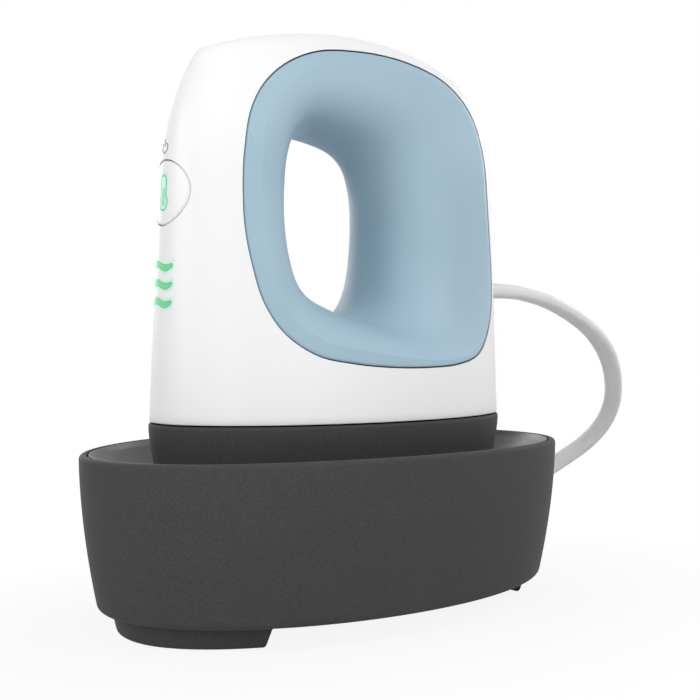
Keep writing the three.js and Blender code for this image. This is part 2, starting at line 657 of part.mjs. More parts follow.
function makeInsulationPad() {
  const pad = stackSolid([
    ovalRing(INSULATION_HALF_WIDTH, INSULATION_HALF_LENGTH, COLLAR_ROUNDNESS, INSULATION_Z, 36),
    ovalRing(
      INSULATION_HALF_WIDTH, INSULATION_HALF_LENGTH, COLLAR_ROUNDNESS, INSULATION_Z + INSULATION_THICKNESS, 36,
    ),
  ]);
  const lowZ = INSULATION_Z - 1;
  const highZ = INSULATION_Z + INSULATION_THICKNESS + 1;
  const holes = [
    ...PLATE_BOSS_PLACES.map(([x, y]) => post(x, y, lowZ, highZ, PLATE_BOSS_RADIUS + GAP)),
    ...CLAMP_BOSS_PLACES.map(([x, y]) => post(x, y, lowZ, highZ, SCREW_HEAD_RADIUS + GAP)),
  ];
  return cutAll(pad, holes);
}

function makeThermistor() {
  return boxBetween(
    [-THERMISTOR_HALF_WIDTH, -THERMISTOR_HALF_LENGTH, PLATE_TOP_Z + GAP],
    [THERMISTOR_HALF_WIDTH, THERMISTOR_HALF_LENGTH, PLATE_TOP_Z + GAP + THERMISTOR_HEIGHT],
  );
}

function makeThermalFuse() {
  return rodAlongY(0, PLATE_TOP_Z + GAP + FUSE_RADIUS, FUSE_START_Y, FUSE_END_Y, FUSE_RADIUS);
}

// Collar round the heat plate, with a deck above it and a spigot that the housing drops over
const SPIGOT_INSET = COLLAR_HALF_LENGTH - SHELL_HALF_LENGTH + SHELL_WALL + SLIDE_GAP;

function collarRing(z, inset) {
  const taper = COLLAR_TAPER * (COLLAR_TOP_Z - z) / (COLLAR_TOP_Z - COLLAR_BOTTOM_Z);
  const shrink = inset + Math.max(taper, 0);
  return ovalRing(COLLAR_HALF_WIDTH - shrink, COLLAR_HALF_LENGTH - shrink, COLLAR_ROUNDNESS, z);
}

function makeHeatCollar() {
  const cup = stackSolid([
    collarRing(DECK_BOTTOM_Z, COLLAR_WALL),
    collarRing(COLLAR_BOTTOM_Z, COLLAR_WALL),
    collarRing(COLLAR_BOTTOM_Z, 0.4),
    collarRing(COLLAR_BOTTOM_Z + 0.5, 0),
    collarRing(COLLAR_TOP_Z, 0),
    collarRing(COLLAR_TOP_Z, SPIGOT_INSET),
    collarRing(COLLAR_TOP_Z + SPIGOT_HEIGHT, SPIGOT_INSET),
    collarRing(COLLAR_TOP_Z + SPIGOT_HEIGHT, SPIGOT_INSET + SPIGOT_WALL),
    collarRing(COLLAR_TOP_Z, SPIGOT_INSET + SPIGOT_WALL),
  ]);
  const opening = stackSolid([
    ovalRing(DECK_OPENING_HALF_WIDTH, DECK_OPENING_HALF_LENGTH, 2.6, DECK_BOTTOM_Z - 1, 24),
    ovalRing(DECK_OPENING_HALF_WIDTH, DECK_OPENING_HALF_LENGTH, 2.6, COLLAR_TOP_Z + 1, 24),
  ]);
  const holes = PLATE_BOSS_PLACES.map(([x, y]) => (
    post(x, y, DECK_BOTTOM_Z - 1, COLLAR_TOP_Z + 1, SCREW_HOLE_RADIUS)
  ));
  return cutAll(cup, [opening, ...holes]);
}

// Housing
const SHELL_BOTTOM_Z = COLLAR_TOP_Z + GAP;

function shellHalfSizes(level, inset) {
  const shoulderZ = SHELL_TOP_Z - SHOULDER_HEIGHT;
  const share = THREE.MathUtils.clamp((level - shoulderZ) / (SHOULDER_HEIGHT - inset), 0, 1);
  const rounding = 1 - (1 - share ** SHOULDER_POWER) ** (1 / SHOULDER_POWER);
  const rise = level - SHELL_BOTTOM_Z;
  return {
    halfLength: SHELL_HALF_LENGTH - SHELL_LENGTH_TAPER * rise - inset - SHOULDER_ALONG * rounding,
    halfWidth: SHELL_HALF_WIDTH - SHELL_WIDTH_TAPER * rise - inset - SHOULDER_ACROSS * rounding,
    centreY: SHELL_LEAN * rise,
  };
}

// How far the crowned top falls below a level, at a place on it.
function crownFall(level, x, y) {
  const share = THREE.MathUtils.clamp((level - CROWN_START_Z) / (SHELL_TOP_Z - CROWN_START_Z), 0, 1);
  const fall = (y - CROWN_CENTRE_Y) ** 2 / (2 * CROWN_LENGTH_RADIUS) + x ** 2 / (2 * CROWN_WIDTH_RADIUS);
  return share * share * fall;
}

function shellRing(level, inset, scale = 1) {
  const { halfLength, halfWidth, centreY } = shellHalfSizes(level, inset);
  const ring = ovalRing(halfWidth * scale, halfLength * scale, SHELL_ROUNDNESS, level, STEPS_AROUND, centreY);
  for (const point of ring) {
    point.z -= crownFall(level, point.x, point.y);
  }
  return ring;
}

// Half-width of the housing's outer face at a place seen from the side.
function shellHalfWidthAt(y, z) {
  let level = z;
  let halfWidth = 0;
  for (let i = 0; i < 12; i += 1) {
    level = Math.min(z + crownFall(level, halfWidth, y), SHELL_TOP_Z);
    const sizes = shellHalfSizes(level, 0);
    const along = Math.min(Math.abs(y - sizes.centreY) / sizes.halfLength, 1);
    halfWidth = sizes.halfWidth * (1 - along ** SHELL_ROUNDNESS) ** (1 / SHELL_ROUNDNESS);
  }
  return halfWidth;
}

// Where the housing's face stands, in front (side -1) or behind (side 1), at a place seen from there.
function shellFaceY(x, z, inset, side) {
  let level = z;
  let y = 0;
  for (let i = 0; i < 12; i += 1) {
    const sizes = shellHalfSizes(level, inset);
    const across = Math.min(Math.abs(x) / sizes.halfWidth, 1);
    y = sizes.centreY + side * sizes.halfLength * (1 - across ** SHELL_ROUNDNESS) ** (1 / SHELL_ROUNDNESS);
    level = Math.min(z + crownFall(level, x, y), SHELL_TOP_Z);
  }
  return y;
}

// Levels of the housing's rings, from the open bottom up over the rounded shoulder.
function shellLevels(inset) {
  const shoulderZ = SHELL_TOP_Z - SHOULDER_HEIGHT;
  const straight = [0, 0.28, 0.56, 0.84].map((share) => (
    SHELL_BOTTOM_Z + (shoulderZ - SHELL_BOTTOM_Z) * share
  ));
  const shoulder = [0.12, 0.34, 0.54, 0.72, 0.87, 1].map((share) => shoulderZ + (SHOULDER_HEIGHT - inset) * share);
  return [...straight, ...shoulder];
}

function shellStack(inset) {
  const rings = shellLevels(inset).map((level) => shellRing(level, inset));
  const top = SHELL_TOP_Z - inset;
  rings.push(shellRing(top, inset, 0.66), shellRing(top, inset, 0.3));
  return rings;
}

function solidHousing() {
  return stackSolid(shellStack(0));
}

function denseOutline(points, steps) {
  const curve = new THREE.CatmullRomCurve3(
    points.map(([y, z]) => (
      new THREE.Vector3(0, y * LENGTH_SCALE, SHELL_BOTTOM_Z + (z - SHELL_BOTTOM_Z) * HEIGHT_SCALE)
    )), true, 'centripetal',
  );
  return Array.from({ length: steps }, (_, i) => {
    const point = curve.getPoint(i / steps);
    return [point.y, point.z];
  });
}

// Moves each point of a clockwise or counter-clockwise outline outwards.
function growOutline(outline, distance) {
  const count = outline.length;
  const middle = outline.reduce(([y, z], point) => [y + point[0] / count, z + point[1] / count], [0, 0]);
  return outline.map(([y, z], i) => {
    const before = outline[(i + count - 1) % count];
    const after = outline[(i + 1) % count];
    const along = new THREE.Vector2(after[0] - before[0], after[1] - before[1]).normalize();
    const out = new THREE.Vector2(along.y, -along.x);
    const away = new THREE.Vector2(y - middle[0], z - middle[1]);
    const side = Math.sign(out.dot(away));
    return [y + out.x * side * distance, z + out.y * side * distance];
  });
}

const LENGTH_SCALE = SHELL_HALF_LENGTH / DRAWN_HALF_LENGTH;
const HEIGHT_SCALE = (SHELL_TOP_Z - SHELL_BOTTOM_Z) / (DRAWN_TOP_Z - SHELL_BOTTOM_Z);
const SEAM = denseOutline(SEAM_POINTS, LINER_STEPS_AROUND);
const THROAT = denseOutline(THROAT_POINTS, LINER_STEPS_AROUND);

// Outline of one glowing wave, as (x, z).
function waveOutline(middleZ, clearance) {
  const steps = 8;
  const reach = WAVE_HALF_WIDTH + clearance;
  const half = WAVE_THICKNESS / 2 + clearance;
  const crest = (x) => middleZ - WAVE_AMPLITUDE * Math.sin((x / WAVE_HALF_WIDTH) * Math.PI);
  const xs = Array.from({ length: steps + 1 }, (_, i) => -reach + (2 * reach * i) / steps);
  const lower = xs.map((x) => [x, crest(x) - half]);
  const upper = xs.map((x) => [x, crest(x) + half]).reverse();
  return [...lower, ...upper];
}

// Outline of the button's window: a thermometer, with its tube above and its bulb below, as (x, z).
function iconOutline(clearance) {
  const tube = ICON_TUBE_RADIUS + clearance;
  const bulb = ICON_BULB_RADIUS + clearance;
  const neckAngle = Math.acos(tube / bulb);
  const arc = (radius, z, from, to) => Array.from({ length: 7 }, (_, i) => {
    const angle = from + ((to - from) * i) / 6;
    return [radius * Math.cos(angle), z + radius * Math.sin(angle)];
  });
  return [
    ...arc(tube, BUTTON_Z + ICON_HALF_HEIGHT - ICON_TUBE_RADIUS, 0, Math.PI),
    ...arc(bulb, BUTTON_Z - ICON_HALF_HEIGHT + ICON_BULB_RADIUS, Math.PI - neckAngle, 2 * Math.PI + neckAngle),
  ];
}

function reliefOval(y, halfWidth, halfHeight, drop = 0) {
  return Array.from({ length: ROUND_STEPS }, (_, i) => {
    const angle = (i / ROUND_STEPS) * Math.PI * 2;
    const z = CORD_EXIT_Z - drop + halfHeight * Math.sin(angle);
    return new THREE.Vector3(halfWidth * Math.cos(angle), y, z);
  });
}

const FRONT_REACH = SHELL_HALF_LENGTH + 2;
const BUTTON_TAB_Y = shellFaceY(
  BUTTON_TAB_HALF_WIDTH, BUTTON_Z + BUTTON_TAB_HALF_HEIGHT, SHELL_WALL, -1,
) + 2 * GAP;
const PLUNGER_FRONT_Y = BUTTON_TAB_Y + BUTTON_TAB_THICKNESS + GAP;
const SWITCH_FRONT_Y = PLUNGER_FRONT_Y + PLUNGER_SHOWING;
const BOARD_FRONT_Y = SWITCH_FRONT_Y + SWITCH_DEPTH + GAP;
const LIGHT_GUIDE_END_Y = BOARD_FRONT_Y - LED_DEPTH - 2 * GAP;
const RELIEF_HALF_WIDTH = CORD_WIDTH / 2 + 1.1;
const RELIEF_HALF_HEIGHT = CORD_THICKNESS / 2 + 0.7;

function shellTab(side) {
  const z = SIDE_POST_TOP_Z + GAP;
  return boxBetween(
    [side > 0 ? SIDE_POST_X - SIDE_POST_RADIUS : -SHELL_HALF_WIDTH + 1.6, -SHELL_TAB_HALF_LENGTH, z],
    [side > 0 ? SHELL_HALF_WIDTH - 1.6 : -SIDE_POST_X + SIDE_POST_RADIUS, SHELL_TAB_HALF_LENGTH,
      z + SHELL_TAB_THICKNESS],
  );
}

function makeOuterShell() {
  const shell = stackSolid([...shellStack(SHELL_WALL).reverse(), ...shellStack(0)]);
  const windowCut = prismAlongX(growOutline(SEAM, GAP), -SHELL_HALF_WIDTH - 1, SHELL_HALF_WIDTH + 1);
  const buttonHole = rodAlongY(0, BUTTON_Z, -FRONT_REACH, LIGHT_GUIDE_END_Y, BUTTON_RADIUS + GAP, BUTTON_STEPS);
  const waves = WAVE_Z.map((z) => prismAlongY(waveOutline(z, GAP), -FRONT_REACH, LIGHT_GUIDE_END_Y));
  const gland = stackSolid([
    reliefOval(SHELL_HALF_LENGTH - 8, RELIEF_HALF_WIDTH + GAP, RELIEF_HALF_HEIGHT + GAP),
    reliefOval(SHELL_HALF_LENGTH + 4, RELIEF_HALF_WIDTH + GAP, RELIEF_HALF_HEIGHT + GAP),
  ]);
  const tabs = [1, -1].map(shellTab);
  const tabHoles = [1, -1].map((side) => (
    post(side * SIDE_POST_X, 0, SIDE_POST_TOP_Z - 1, SIDE_POST_TOP_Z + 5, SCREW_HOLE_RADIUS)
  ));
  return cutAll(joinAll([cutAll(shell, [windowCut, buttonHole, ...waves, gland]), ...tabs]), tabHoles);
}

// One half of the grip lining: a smooth funnel from the housing's face to the throat at the middle.
function makeGripLiner(side) {
  const faceX = SEAM.map(([y, z]) => shellHalfWidthAt(y, z) - 0.1);
  const funnelRing = (share, depth) => SEAM.map(([y, z], i) => {
    const angle = share * Math.PI / 2;
    const out = Math.cos(angle) ** (2 / LINER_PROFILE_POWER);
    const into = Math.sin(angle) ** (2 / LINER_PROFILE_POWER);
    const across = new THREE.Vector2(THROAT[i][0] - y, THROAT[i][1] - z);
    const reach = across.length() - depth;
    const halfGap = GAP / 2;
    const x = halfGap + (faceX[i] - depth - halfGap) * out;
    const move = across.normalize().multiplyScalar(reach * into);
    return new THREE.Vector3(side * x, y + move.x, z + move.y);
  });
  const rings = [];
  for (let i = 0; i <= LINER_STEPS_DEEP; i += 1) {
    rings.push(funnelRing(i / LINER_STEPS_DEEP, 0));
  }
  for (let i = LINER_STEPS_DEEP; i >= 0; i -= 1) {
    rings.push(funnelRing(i / LINER_STEPS_DEEP, LINER_WALL));
  }
  return roundSolid(rings);
}

// Button: its face is a round piece of the housing's own face, with a tab behind that holds it in.
function makeButton() {
  const face = toSolid(solidHousing()).intersect(
    toSolid(rodAlongY(0, BUTTON_Z, -FRONT_REACH, BUTTON_TAB_Y + 0.2, BUTTON_RADIUS, BUTTON_STEPS)),
  );
  const tab = boxBetween(
    [-BUTTON_TAB_HALF_WIDTH, BUTTON_TAB_Y, BUTTON_Z - BUTTON_TAB_HALF_HEIGHT],
    [BUTTON_TAB_HALF_WIDTH, BUTTON_TAB_Y + BUTTON_TAB_THICKNESS, BUTTON_Z + BUTTON_TAB_HALF_HEIGHT],
  );
  const slot = prismAlongY(iconOutline(GAP), -FRONT_REACH, LIGHT_GUIDE_END_Y);
  return toGeometry(face.add(toSolid(tab)).subtract(toSolid(slot)));
}

const ICON_END_Y = SWITCH_FRONT_Y - BUTTON_TRAVEL - 0.2;

function frontInsert(outline, endY) {
  const insert = prismAlongY(outline, -FRONT_REACH, endY);
  return toGeometry(toSolid(solidHousing()).intersect(toSolid(insert)));
}

function makePlunger() {
  return rodAlongY(0, SWITCH_Z, PLUNGER_FRONT_Y, SWITCH_FRONT_Y + PLUNGER_DEPTH, PLUNGER_RADIUS);
}

function makeSwitch() {
  const half = SWITCH_SIZE / 2;
  const body = boxBetween(
    [-half, SWITCH_FRONT_Y, SWITCH_Z - half],
    [half, BOARD_FRONT_Y - GAP, SWITCH_Z + half],
  );
  return cutAll(body, [
    rodAlongY(
      0, SWITCH_Z, SWITCH_FRONT_Y - 1, SWITCH_FRONT_Y + PLUNGER_DEPTH + BUTTON_TRAVEL + 0.1, PLUNGER_RADIUS + GAP,
    ),
  ]);
}

function makeLed(z) {
  return boxBetween(
    [-LED_HALF_WIDTH, BOARD_FRONT_Y - GAP - LED_DEPTH, z - LED_HALF_HEIGHT],
    [LED_HALF_WIDTH, BOARD_FRONT_Y - GAP, z + LED_HALF_HEIGHT],
  );
}

// Chassis
const CHASSIS_Z = COLLAR_TOP_Z + GAP;
const CHASSIS_TOP_Z = CHASSIS_Z + CHASSIS_THICKNESS;
const CHASSIS_INSET = SPIGOT_INSET + SPIGOT_WALL + GAP;
const BOARD_BACK_Y = BOARD_FRONT_Y + BOARD_THICKNESS;
const TOWER_FRONT_Y = BOARD_BACK_Y + GAP;
const CABLE_CRADLE_Z = CORD_EXIT_Z - RELIEF_HALF_HEIGHT;
const CABLE_SPLIT_Z = CORD_EXIT_Z - 0.6;

function makeChassis() {
  const deck = stackSolid([
    collarRing(CHASSIS_Z, CHASSIS_INSET),
    collarRing(CHASSIS_TOP_Z, CHASSIS_INSET),
  ]);
  const tower = boxBetween(
    [-TOWER_HALF_WIDTH, TOWER_FRONT_Y, CHASSIS_TOP_Z - 1],
    [TOWER_HALF_WIDTH, TOWER_FRONT_Y + TOWER_DEPTH, BOARD_TOP_Z],
  );
  const cablePost = boxBetween(
    [-CABLE_POST_HALF_WIDTH, CABLE_POST_Y - CABLE_POST_HALF_DEPTH, CHASSIS_TOP_Z - 1],
    [CABLE_POST_HALF_WIDTH, CABLE_POST_Y + CABLE_POST_HALF_DEPTH, CABLE_SPLIT_Z],
  );
  const posts = [1, -1].map((side) => (
    post(side * SIDE_POST_X, 0, CHASSIS_TOP_Z - 1, SIDE_POST_TOP_Z, SIDE_POST_RADIUS)
  ));
  const towerWindow = boxBetween(
    [-TOWER_HALF_WIDTH + TOWER_RAIL, TOWER_FRONT_Y - 1, BOARD_BOTTOM_Z + TOWER_BAR],
    [TOWER_HALF_WIDTH - TOWER_RAIL, TOWER_FRONT_Y + TOWER_DEPTH + 1, BOARD_TOP_Z - TOWER_BAR],
  );
  const cradle = stackSolid([
    reliefOval(CABLE_POST_Y - 5, CORD_WIDTH / 2 + GAP, CORD_THICKNESS / 2 + GAP),
    reliefOval(CABLE_POST_Y + 5, CORD_WIDTH / 2 + GAP, CORD_THICKNESS / 2 + GAP),
  ]);
  const wireOpening = boxBetween(
    [-WIRE_OPENING_HALF_WIDTH, WIRE_OPENING_START_Y, CHASSIS_Z - 1],
    [WIRE_OPENING_HALF_WIDTH, WIRE_OPENING_END_Y, CHASSIS_TOP_Z + 1],
  );
  const holes = [
    ...PLATE_BOSS_PLACES.map(([x, y]) => post(x, y, CHASSIS_Z - 1, CHASSIS_TOP_Z + 1, SCREW_HOLE_RADIUS)),
    ...[1, -1].map((side) => (
      post(side * SIDE_POST_X, 0, CHASSIS_TOP_Z - 1, SIDE_POST_TOP_Z + 1, SCREW_HOLE_RADIUS)
    )),
    ...BOARD_SCREW_Z.map((z) => (
      rodAlongY(0, z, TOWER_FRONT_Y - 1, TOWER_FRONT_Y + TOWER_DEPTH - 1, SCREW_HOLE_RADIUS)
    )),
  ];
  return cutAll(joinAll([deck, tower, cablePost, ...posts]), [towerWindow, cradle, wireOpening, ...holes]);
}

function makeControlBoard() {
  const board = boxBetween(
    [-BOARD_HALF_WIDTH, BOARD_FRONT_Y, BOARD_BOTTOM_Z],
    [BOARD_HALF_WIDTH, BOARD_BACK_Y, BOARD_TOP_Z],
  );
  const holes = BOARD_SCREW_Z.map((z) => (
    rodAlongY(0, z, BOARD_FRONT_Y - 1, BOARD_BACK_Y + 1, SCREW_HOLE_RADIUS)
  ));
  return cutAll(board, holes);
}

function makeBoardScrew(z) {
  const screw = screwAlongZ(0, 0, 0, -BOARD_SCREW_LENGTH);
  screw.rotateX(Math.PI / 2);
  screw.translate(0, BOARD_FRONT_Y - GAP, z);
  return screw;
}

function makeControlChip() {
  return boxBetween(
    [-CHIP_SIZE, BOARD_BACK_Y + GAP, CHIP_Z - CHIP_SIZE],
    [CHIP_SIZE, BOARD_BACK_Y + GAP + CHIP_THICKNESS, CHIP_Z + CHIP_SIZE],
  );
}

function makeCapacitor() {
  return boxBetween(
    [-CAPACITOR_HALF_WIDTH, BOARD_FRONT_Y - GAP - CAPACITOR_DEPTH, CAPACITOR_Z],
    [CAPACITOR_HALF_WIDTH, BOARD_FRONT_Y - GAP, CAPACITOR_Z + CAPACITOR_HEIGHT],
  );
}

function makeBuzzer() {
  return post(0, BUZZER_Y, CHASSIS_TOP_Z + GAP, CHASSIS_TOP_Z + GAP + BUZZER_HEIGHT, BUZZER_RADIUS);
}

function makeTriac() {
  const low = CHASSIS_TOP_Z + GAP;
  const backY = TRIAC_Y + TRIAC_DEPTH;
  const body = boxBetween([-TRIAC_HALF_WIDTH, TRIAC_Y, low], [TRIAC_HALF_WIDTH, backY, low + TRIAC_HEIGHT]);
  const fin = boxBetween(
    [-TRIAC_HALF_WIDTH, backY - TRIAC_FIN_THICKNESS, low + TRIAC_HEIGHT - 1],
    [TRIAC_HALF_WIDTH, backY, low + TRIAC_HEIGHT + TRIAC_FIN_HEIGHT],
  );
  return joinAll([body, fin]);
}

// Strain relief and the clamp that holds its tail on the chassis
function makeStrainRelief() {
  const tailWidth = CORD_WIDTH / 2;
  const tailHeight = CORD_THICKNESS / 2;
  const flangeWidth = RELIEF_HALF_WIDTH + RELIEF_FLANGE_WIDTH;
  const flangeHeight = RELIEF_HALF_HEIGHT + RELIEF_FLANGE_WIDTH;
  const flangeEnd = shellFaceY(flangeWidth, CORD_EXIT_Z + flangeHeight, SHELL_WALL, 1) - 2 * GAP;
  return stackSolid([
    reliefOval(RELIEF_INNER_Y, tailWidth, tailHeight),
    reliefOval(flangeEnd - RELIEF_FLANGE_THICKNESS, tailWidth, tailHeight),
    reliefOval(flangeEnd - RELIEF_FLANGE_THICKNESS, flangeWidth, flangeHeight),
    reliefOval(flangeEnd, flangeWidth, flangeHeight),
    reliefOval(flangeEnd, RELIEF_HALF_WIDTH, RELIEF_HALF_HEIGHT),
    reliefOval(SHELL_HALF_LENGTH + 1, RELIEF_HALF_WIDTH, RELIEF_HALF_HEIGHT),
    reliefOval(RELIEF_END_Y, tailWidth + 0.3, tailHeight + 0.25, CORD_EXIT_DROP),
  ]);
}

function makeCordClamp() {
  const block = boxBetween(
    [-CABLE_POST_HALF_WIDTH, CABLE_POST_Y - CABLE_POST_HALF_DEPTH, CABLE_SPLIT_Z + GAP],
    [CABLE_POST_HALF_WIDTH, CABLE_POST_Y + CABLE_POST_HALF_DEPTH, CORD_EXIT_Z + 4],
  );
  const cradle = stackSolid([
    reliefOval(CABLE_POST_Y - 5, CORD_WIDTH / 2 + GAP, CORD_THICKNESS / 2 + GAP),
    reliefOval(CABLE_POST_Y + 5, CORD_WIDTH / 2 + GAP, CORD_THICKNESS / 2 + GAP),
  ]);
  return cutAll(block, [cradle]);
}

// Lead
function ovalSection(halfWidth, halfHeight, sides) {
  return new THREE.Shape(Array.from({ length: sides }, (_, i) => {
    const angle = ((i + 0.5) / sides) * Math.PI * 2;
    return new THREE.Vector2(halfWidth * Math.cos(angle), halfHeight * Math.sin(angle));
  }));
}

function makeCordRun() {
  const path = new THREE.CatmullRomCurve3(
    CORD_ROUTE.map(([x, y, z]) => new THREE.Vector3(x, y, z)), false, 'centripetal',
  );
  console.log(`free stretch of the lead: ${path.getLength().toFixed(1)} mm`);
  return new THREE.ExtrudeGeometry(ovalSection(CORD_WIDTH / 2, CORD_THICKNESS / 2, 6), {
    steps: CORD_STEPS,
    extrudePath: path,
    bevelEnabled: false,
  });
}

// Middle line of the coil: in along the lower layer, up in half a turn, and out along the upper one.
function coilPoint(turn) {
  const climbStart = COIL_TURNS_PER_LAYER;
  const climbEnd = climbStart + 0.5;
  const innerRadius = COIL_OUTER_RADIUS - COIL_PITCH * COIL_TURNS_PER_LAYER;
  let radius = COIL_OUTER_RADIUS - COIL_PITCH * turn;
  let rise = 0;
  if (turn > climbStart) {
    const share = Math.min((turn - climbStart) / 0.5, 1);
    const past = Math.min(turn, climbEnd) - climbStart;
    radius = innerRadius - COIL_PITCH * past + 2 * COIL_PITCH * past * past;
    rise = COIL_LAYER_RISE * share * share * (3 - 2 * share);
  }
  if (turn > climbEnd) {
    radius = innerRadius + COIL_PITCH * (turn - climbEnd);
  }
  const angle = -turn * Math.PI * 2;
  return new THREE.Vector3(
    COIL_CENTRE_X + radius * Math.cos(angle),
    COIL_CENTRE_Y + radius * Math.sin(angle),
    CORD_REST_Z + rise,
  );
}

const COIL_TURNS = 2 * COIL_TURNS_PER_LAYER + 0.5;
const COIL_END = coilPoint(COIL_TURNS);
const COIL_END_ANGLE = -COIL_TURNS * Math.PI * 2;
const COIL_END_HEADING = new THREE.Vector3(Math.sin(COIL_END_ANGLE), -Math.cos(COIL_END_ANGLE), 0);

function coilMiddles() {
  const steps = Math.round(COIL_TURNS * COIL_STEPS_PER_TURN);
  const middles = Array.from({ length: steps + 1 }, (_, i) => coilPoint((i / steps) * COIL_TURNS));
  const start = middles[0].clone().add(new THREE.Vector3(0, CORD_WIDTH, 0));
  const end = COIL_END.clone().addScaledVector(COIL_END_HEADING, CORD_WIDTH);
  return [start, ...middles, end];
}

function coilRings() {
  const middles = coilMiddles();
  return middles.map((middle, i) => {
    const before = middles[Math.max(i - 1, 0)];
    const after = middles[Math.min(i + 1, middles.length - 1)];
    const along = after.clone().sub(before).normalize();
    const out = new THREE.Vector3().crossVectors(along, new THREE.Vector3(0, 0, 1)).normalize();
    const up = new THREE.Vector3().crossVectors(out, along);
    return Array.from({ length: COIL_SIDES }, (_, j) => {
      const angle = ((j + 0.5) / COIL_SIDES) * Math.PI * 2;
      return middle.clone()
        .addScaledVector(out, (CORD_THICKNESS / 2) * Math.cos(angle))
        .addScaledVector(up, (CORD_WIDTH / 2) * Math.sin(angle));
    });
  });
}

// Least distance between points of the coil that lie more than a third of a turn apart along it.
function leastCoilGap(rings) {
  const apart = COIL_STEPS_PER_TURN / 3;
  let least = Infinity;
  for (let i = 0; i < rings.length; i += 1) {
    for (let j = i + apart; j < rings.length; j += 1) {
      for (const a of rings[i]) {
        for (const b of rings[j]) {
          least = Math.min(least, a.distanceTo(b));
        }
      }
    }
  }
  return least;
}

function makeCordCoil() {
  const rings = coilRings();
  const middles = coilMiddles();
  const length = middles.slice(1).reduce((sum, point, i) => sum + point.distanceTo(middles[i]), 0);
  console.log(`coil: ${length.toFixed(1)} mm long, least gap to itself ${leastCoilGap(rings).toFixed(2)} mm`);
  return stackSolid(rings);
}

// Strap round all the turns at the front of the coil, as a rectangular loop.
function makeCoilTie() {
  const innerRadius = COIL_OUTER_RADIUS - COIL_PITCH * COIL_TURNS_PER_LAYER;
  const inside = COIL_CENTRE_Y - innerRadius + CORD_THICKNESS / 2 + GAP;
  const outside = COIL_CENTRE_Y - COIL_OUTER_RADIUS - CORD_THICKNESS / 2 - GAP;
  const bottom = CORD_REST_Z - CORD_WIDTH / 2 - GAP;
  const top = CORD_REST_Z + COIL_LAYER_RISE + CORD_WIDTH / 2 + GAP;
  const loop = boxBetween(
    [COIL_CENTRE_X - TIE_HALF_WIDTH, outside - TIE_THICKNESS, bottom - TIE_THICKNESS],
    [COIL_CENTRE_X + TIE_HALF_WIDTH, inside + TIE_THICKNESS, top + TIE_THICKNESS],
  );
  const room = boxBetween(
    [COIL_CENTRE_X - TIE_HALF_WIDTH - 1, outside, bottom],
    [COIL_CENTRE_X + TIE_HALF_WIDTH + 1, inside, top],
  );
  return cutAll(loop, [room]);
}

// The plug is built along +Y from the end of the coil and then turned to the coil's heading.
function placeAtCoilEnd(geometry) {
  geometry.rotateZ(Math.atan2(-COIL_END_HEADING.x, COIL_END_HEADING.y));
  geometry.translate(COIL_END.x, COIL_END.y, COIL_END.z);
  return geometry;
}

function plugOval(y, halfWidth, halfHeight, power) {
  return ovalRing(halfWidth, halfHeight, power, 0, 20).map((point) => new THREE.Vector3(point.x, y, point.y));
}

const PLUG_START = CORD_WIDTH + GAP;
const PLUG_BODY_START = PLUG_START + PLUG_RELIEF_LENGTH;
const PLUG_BODY_END = PLUG_BODY_START + PLUG_LENGTH;

function makeBlade(side, clearance) {
  const x = side * BLADE_SPACING / 2;
  return boxBetween(
    [x - BLADE_THICKNESS / 2 - clearance, PLUG_BODY_END - BLADE_DEPTH - clearance, -BLADE_WIDTH / 2 - clearance],
    [x + BLADE_THICKNESS / 2 + clearance, PLUG_BODY_END + BLADE_REACH, BLADE_WIDTH / 2 + clearance],
  );
}

function makePlugBody() {
  const halfCord = CORD_THICKNESS / 2;
  const body = stackSolid([
    plugOval(PLUG_START, halfCord + 0.4, CORD_WIDTH / 2, 2),
    plugOval(PLUG_START + PLUG_RELIEF_LENGTH * 0.75, halfCord + 1.2, CORD_WIDTH / 2 + 0.2, 2),
    plugOval(PLUG_BODY_START - 1, PLUG_NECK_HALF_WIDTH, PLUG_NECK_HALF_HEIGHT, 2),
    plugOval(PLUG_BODY_START + 2, PLUG_HALF_WIDTH * 0.72, PLUG_HALF_HEIGHT * 0.78, 3),
    plugOval(PLUG_BODY_START + PLUG_LENGTH * 0.5, PLUG_HALF_WIDTH * 0.94, PLUG_HALF_HEIGHT * 0.97, 4),
    plugOval(PLUG_BODY_END - 1, PLUG_HALF_WIDTH, PLUG_HALF_HEIGHT, 4),
    plugOval(PLUG_BODY_END, PLUG_HALF_WIDTH - 1, PLUG_HALF_HEIGHT - 1, 4),
  ]);
  return placeAtCoilEnd(cutAll(body, [makeBlade(1, GAP), makeBlade(-1, GAP)]));
}

addPart('base_shell', makeBaseShell(), 'charcoal');
addPart('base_liner', makeBaseLiner(), 'dish');
addPart('front_foot_pad', padSolid(true, 0, PAD_THICKNESS), 'rubber');
addPart('rear_foot_pad', padSolid(false, 0, PAD_THICKNESS), 'rubber');
[[-1, -1], [1, -1], [1, 1], [-1, 1]].forEach(([i, j], index) => {
  addPart(`rest_pad_${index + 1}`, makeRestPad(i * REST_PAD_X, j * REST_PAD_Y), 'rubber');
});
basePostPlaces().forEach(([x, y], index) => {
  const tip = POCKET_FLOOR_Z - DISH_WALL - 0.8;
  addPart(`base_screw_${index + 1}`, screwAlongZ(x, y, SCREW_SEAT_Z - GAP, tip), 'steel');
});

